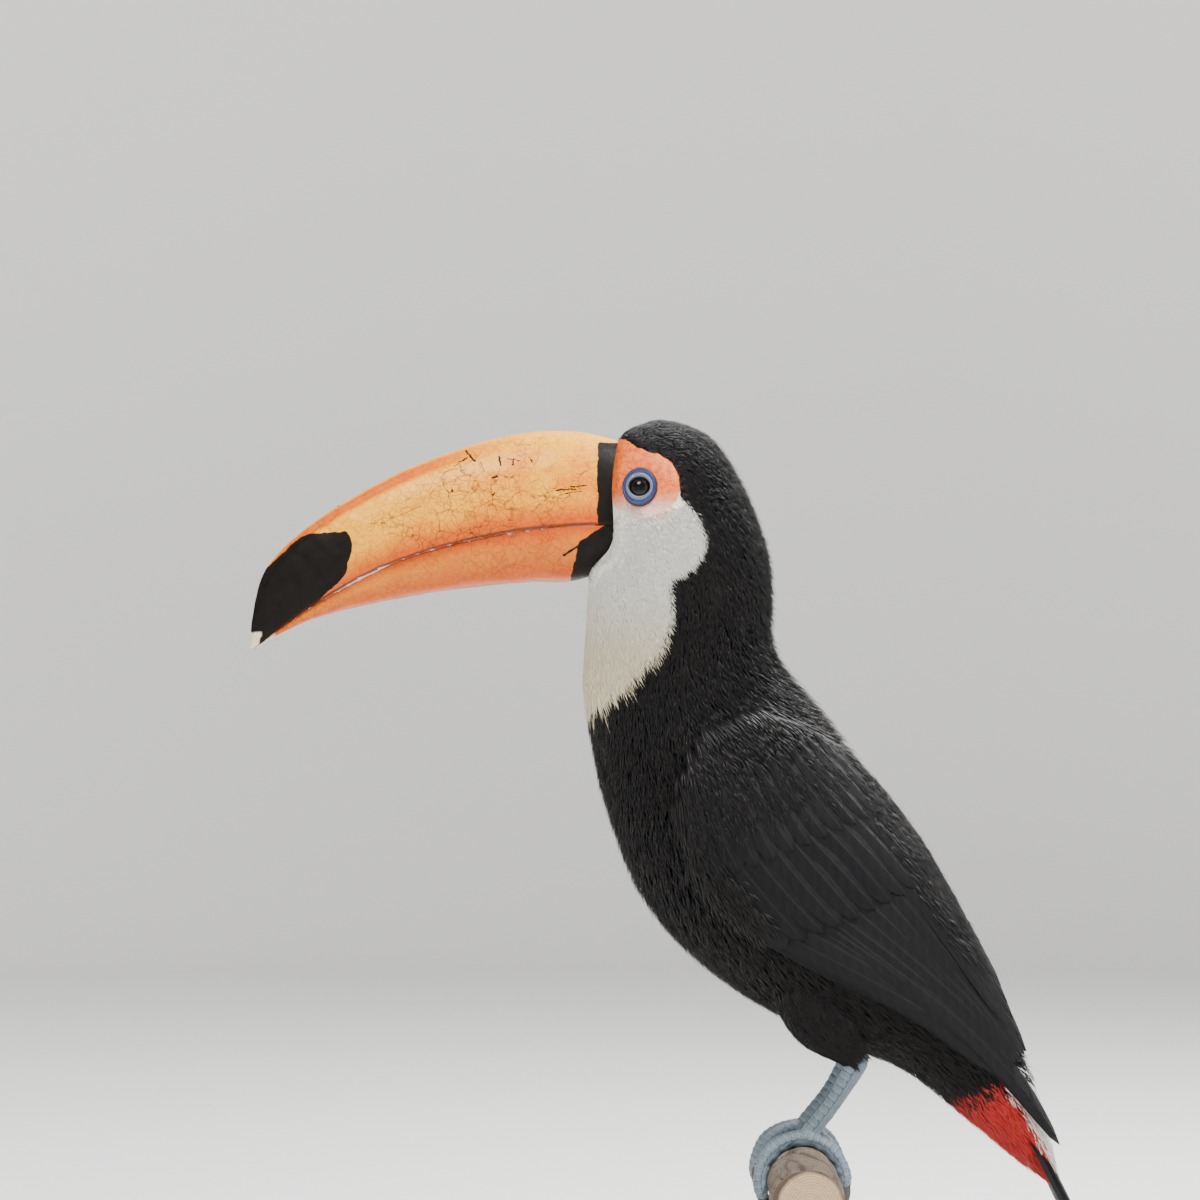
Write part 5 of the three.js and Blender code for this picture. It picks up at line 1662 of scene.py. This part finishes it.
# %% One finish for both mandibles
def bill_finish(lower=False):
    """Horn, with all its marks in one sum of colours."""
    finish = Finish("lower_horn" if lower else "upper_horn")
    place = finish.place()
    up, run, arch = finish.mark("up"), finish.mark("run"), finish.mark("arch")
    cloud = finish.noise(place, 55, 4)
    bent = finish.bent(place, 160, 0.006)
    blotches = finish.noise(finish.stretch(place, (0.6, 1, 1.5)), 190, 4, 0.65)
    # Painted highlight: the horn is painted paler over the middle stretch of each mandible, away from its
    # cutting edge.
    clear = finish.ease(run, 65, 110) * finish.ease(run, 165, 125) * finish.ease(up, 0.25, 0.5)
    pale = finish.ease(cloud * 0.6 + blotches * 0.4 + clear * 0.2, 0.36, 0.6)
    colour = finish.mix(pale, AMBER, PALE_AMBER)
    if lower:
        deep = 0.6 + finish.ease(up, 0.35, 0.95) * 0.25 + finish.ease(up, 0.3, 0.0) * 0.3
    else:
        # Painted shade: a deeper orange band in the groove just below the ridge, from near the base out to
        # the tip.
        groove_shade = finish.ease(up, 0.82, 0.9) * finish.ease(up, 0.995, 0.96) * finish.ease(run, 35, 90)
        # Painted highlight: a paler yellow band along the ridge near the base, where the light falls on the
        # culmen.
        painted_culmen_highlight = finish.ease(up, 0.78, 0.93) * finish.ease(run, 75, 25)
        colour = finish.mix(painted_culmen_highlight * 0.7, colour, (0.95, 0.50, 0.04))
        deep = finish.ease(up, 0.34, 0.03) * 0.85 + groove_shade * 0.8
        deep = deep + finish.ease(run, 30, 0) * 0.15
    grains = finish.noise(place, 620, 3, 0.6)
    colour = finish.mix(deep + (blotches - 0.5) * 0.45 + (grains - 0.5) * 0.3, colour, DEEP_ORANGE)
    wide_net = finish.ease(finish.cells(bent, 120, "DISTANCE_TO_EDGE"), 0.06, 0.0)
    fine_net = finish.ease(finish.cells(bent, 330, "DISTANCE_TO_EDGE"), 0.10, 0.0)
    where = finish.ease(finish.noise(place, 38, 2), 0.42, 0.6) * finish.ease(up, 0.97, 0.8)
    net = wide_net * (0.35 + where * 0.65) + fine_net * (0.4 + where * 0.6)
    colour = finish.mix(net * (0.3 if lower else 0.52), colour, (0.14, 0.022, 0.002))
    scar = 0
    if not lower:
        flat = finish.bent(place, 700, 0.0015) * (1.0, 0.0, 1.0)
        scar = sum(finish.streak(flat, *ends) for ends in SCARS) * finish.ease(grains, 0.22, 0.4)
        scar = (scar * finish.ease(finish.part(place, 1), 0, -0.002)).math("MINIMUM", 1)
        colour = finish.mix(scar, colour, (0.02, 0.006, 0.003))
    ragged = finish.mark("black") + (finish.noise(place, 420, 3) - 0.5) * 1.1
    ragged = ragged + (finish.noise(place, 130, 2) - 0.5) * 2.2
    black = finish.ease(ragged, 0.16, -0.16)
    tip = finish.ease(finish.mark("tip") + (finish.noise(place, 300, 3) - 0.5) * 2.4, 0.6, -0.6)
    colour = finish.mix(black, colour, finish.mix(finish.noise(place, 240, 4), (0.003, 0.003, 0.003),
                                                  (0.013, 0.010, 0.008)))
    colour = finish.mix(tip, colour, finish.mix(grains, (0.62, 0.50, 0.30), (0.86, 0.78, 0.60)))
    # Painted shadow: a dark line along the upper mandible's cutting edge, where the mandibles meet, and
    # along the lower mandible's keel.
    painted_edge_shadow = finish.ease(up, 0.965, 0.985) if lower else finish.ease(up, 0.028, 0.012)
    colour = finish.mix(painted_edge_shadow * finish.ease(run, 4, 20) * 0.65, colour, (0.07, 0.014, 0.003))
    colour = finish.mix(arch, (0.30, 0.06, 0.02), colour)
    rough = 0.36 + cloud * 0.12 + net * 0.12 + black * 0.02
    height = (blotches * 0.5 - net * 0.35) * (1 - black * 0.75)
    height = height + finish.noise(finish.stretch(place, (1, 1, 0.35)), 900, 2) * 0.2
    return finish.surface(colour, rough, height, 0.00022, 0.8, specular=0.08,
                          coat=(1 - black) * (1 - scar) * 0.32 + 0.02,
                          coat_roughness=0.3)


coat_with(bpy.data.objects["bill_upper_horn"], bill_finish())
coat_with(bpy.data.objects["bill_lower_horn"], bill_finish(lower=True))
print("bill finished, with", len(SCARS), "scars")

# %% Eyes and lids
finish = Finish("eyeball")
away = finish.mark("away")
threads = finish.noise(finish.place(), 900, 3)
iris = finish.mix(finish.ease(away + threads * 0.5, 2.9, 4.2), (0.022, 0.010, 0.005), (0.006, 0.003, 0.002))
colour = finish.mix(finish.ease(away + threads * 0.12, 2.75, 2.95), (0.002, 0.002, 0.002), iris)
wet = finish.surface(colour, 0.3, coat=0.4, coat_roughness=0.02, specular=0.05)
finish = Finish("lids")
ring = finish.mark("ring")
place = finish.place()
specks = finish.noise(place, 1400, 3)
rim = finish.mix(finish.mark("bead") * 0.85 + specks * 0.3 - 0.1, (0.010, 0.020, 0.065), (0.27, 0.32, 0.39))
blue = finish.mix(specks, (0.004, 0.010, 0.070), (0.010, 0.028, 0.17))
colour = finish.mix(finish.ease(ring + (specks - 0.5) * 0.12, 0.42, 0.54), rim, blue)
# Painted shade: the outer edge of the blue ring, where it dips into the crease, is painted near black.
colour = finish.mix(finish.ease(ring, 0.78, 0.88), colour, (0.003, 0.004, 0.010))
colour = finish.mix(finish.ease(ring, 0.02, -0.06), colour, (0.015, 0.014, 0.018))
skin_height = specks * 0.5 - finish.cells(place, 2600) * 0.6
lid_look = finish.surface(colour, 0.42 + specks * 0.2, skin_height, 0.00016, 0.8, coat=0.1)
for word in ("left", "right"):
    coat_with(bpy.data.objects["eyeball_" + word], wet)
    coat_with(bpy.data.objects["lids_" + word], lid_look)
print("eyes and lids have their finishes")

# %% Feet and claws
finish = Finish("scaly_skin")
place = finish.place()
plate = finish.mark("plate")
cloud, specks = finish.noise(place, 120, 3), finish.noise(place, 900, 3)
colour = finish.mix(cloud * 0.6 + specks * 0.4, (0.085, 0.125, 0.165), (0.20, 0.26, 0.30))
colour = finish.mix(finish.ease(plate, 0.55, 0.98) * 0.5, colour, (0.30, 0.35, 0.37))
gap = finish.ease(plate, 0.0, 0.04) * finish.ease(plate, 0.17, 0.08)
colour = finish.mix(gap * 0.75, colour, (0.02, 0.03, 0.04))
cracks = finish.ease(finish.cells(place, 900, "DISTANCE_TO_EDGE"), 0.12, 0.0)
colour = finish.mix(cracks * 0.28, colour, (0.03, 0.045, 0.06))
height = specks * 0.4 - cracks * 0.45
foot_look = finish.surface(colour, 0.5 + specks * 0.15, height, 0.00022, 0.9, coat=0.05)
finish = Finish("claw_horn")
place = finish.place()
streaks = finish.noise(finish.stretch(place, (1, 3, 1)), 600, 3)
colour = finish.mix(streaks, (0.012, 0.011, 0.011), (0.06, 0.05, 0.042))
claw_look = finish.surface(colour, 0.3 + streaks * 0.2, streaks, 0.0001, 0.6, coat=0.3, coat_roughness=0.2)
for piece in list(bpy.data.objects):
    if piece.name.startswith("scaly_foot"):
        coat_with(piece, foot_look)
    if piece.name.startswith("horn_claw"):
        coat_with(piece, claw_look)
print("skin on", foot_look.users, "feet, horn on", claw_look.users, "claws")

# %% Bark and sawn wood
finish = Finish("branch_wood")
place = finish.place()
drawn = finish.stretch(place, (1, 0.25, 1))
cloud, fine = finish.noise(drawn, 60, 5, 0.6), finish.noise(drawn, 320, 4, 0.65)
grit = finish.noise(place, 900, 3)
bark = finish.mix(cloud * 0.6 + fine * 0.5 - 0.05, (0.050, 0.033, 0.023), (0.22, 0.165, 0.12))
crack = finish.mark("crack") + (fine - 0.5) * 0.55 + (grit - 0.5) * 0.35
bark = finish.mix(finish.ease(crack, 0.45, 1.05) * 0.85, bark, (0.016, 0.011, 0.008))
scale_rims = finish.ease(finish.cells(finish.bent(drawn, 130, 0.007), 170, "DISTANCE_TO_EDGE"), 0.07, 0.0)
scale_rims = scale_rims * finish.ease(cloud + (grit - 0.5) * 0.5, 0.42, 0.6) * (1 - finish.mark("sawn"))
bark = finish.mix(scale_rims * 0.4, bark, (0.025, 0.017, 0.012))
bark = finish.mix(finish.ease(finish.noise(place, 85, 4) + (grit - 0.5) * 0.2, 0.58, 0.74) * 0.5, bark,
                  (0.34, 0.34, 0.28))
core = finish.node("ShaderNodeVectorMath", {"operation": "DISTANCE"},
                   {0: finish.bent(place, 60, 0.003) * (1.0, 0.0, 1.0), 1: (0.0012, 0.0, 0.119)}, output=1)
rings_tone = ((core * 5200).math("SINE") * 0.5 + 0.5) * 0.5 + finish.noise(place, 420, 3) * 0.4
sawn_wood = finish.mix(rings_tone, (0.34, 0.22, 0.12), (0.55, 0.40, 0.25))
sawn_wood = finish.mix(finish.ease(core, 0.0125, 0.0145), sawn_wood, (0.07, 0.045, 0.03))
colour = finish.mix(finish.mark("sawn"), bark, sawn_wood)
height = fine * 1.2 + grit * 0.5 - scale_rims * 0.5
coat_with(bpy.data.objects["branch"], finish.surface(colour, 0.8 + grit * 0.15, height, 0.0009, 1.0))

# %% Board and steel
finish = Finish("board_wood")
place = finish.place()
drawn = finish.bent(finish.stretch(place, (0.16, 1, 1)), 18, 0.03)
veins = finish.noise(drawn, 60, 5, 0.6)
pores = finish.noise(finish.stretch(place, (0.05, 1, 1)), 900, 3)
tone = ((veins * 30).math("SINE") * 0.5 + 0.5) * 0.45 + veins * 0.4 + pores * 0.15
colour = finish.mix(tone, (0.040, 0.019, 0.010), (0.125, 0.062, 0.030))
coat_with(bpy.data.objects["stand_board"],
          finish.surface(colour, 0.44 + pores * 0.15, veins * 0.4 + pores * 0.6, 0.00012, 0.5, coat=0.08))
finish = Finish("brushed_steel")
place = finish.place()
brush = finish.noise(finish.stretch(place, (1, 1, 0.03)), 1500, 3)
cloud = finish.noise(place, 60, 3)
steel = finish.surface(finish.mix(brush * 0.6 + cloud * 0.3, (0.22, 0.22, 0.23), (0.40, 0.40, 0.41)),
                       0.34 + brush * 0.16, brush, 0.00003, 0.4, metal=1.0)
for number in (1, 2):
    coat_with(bpy.data.objects["stand_steel_" + str(number)], steel)
print("materials:", len(bpy.data.materials))
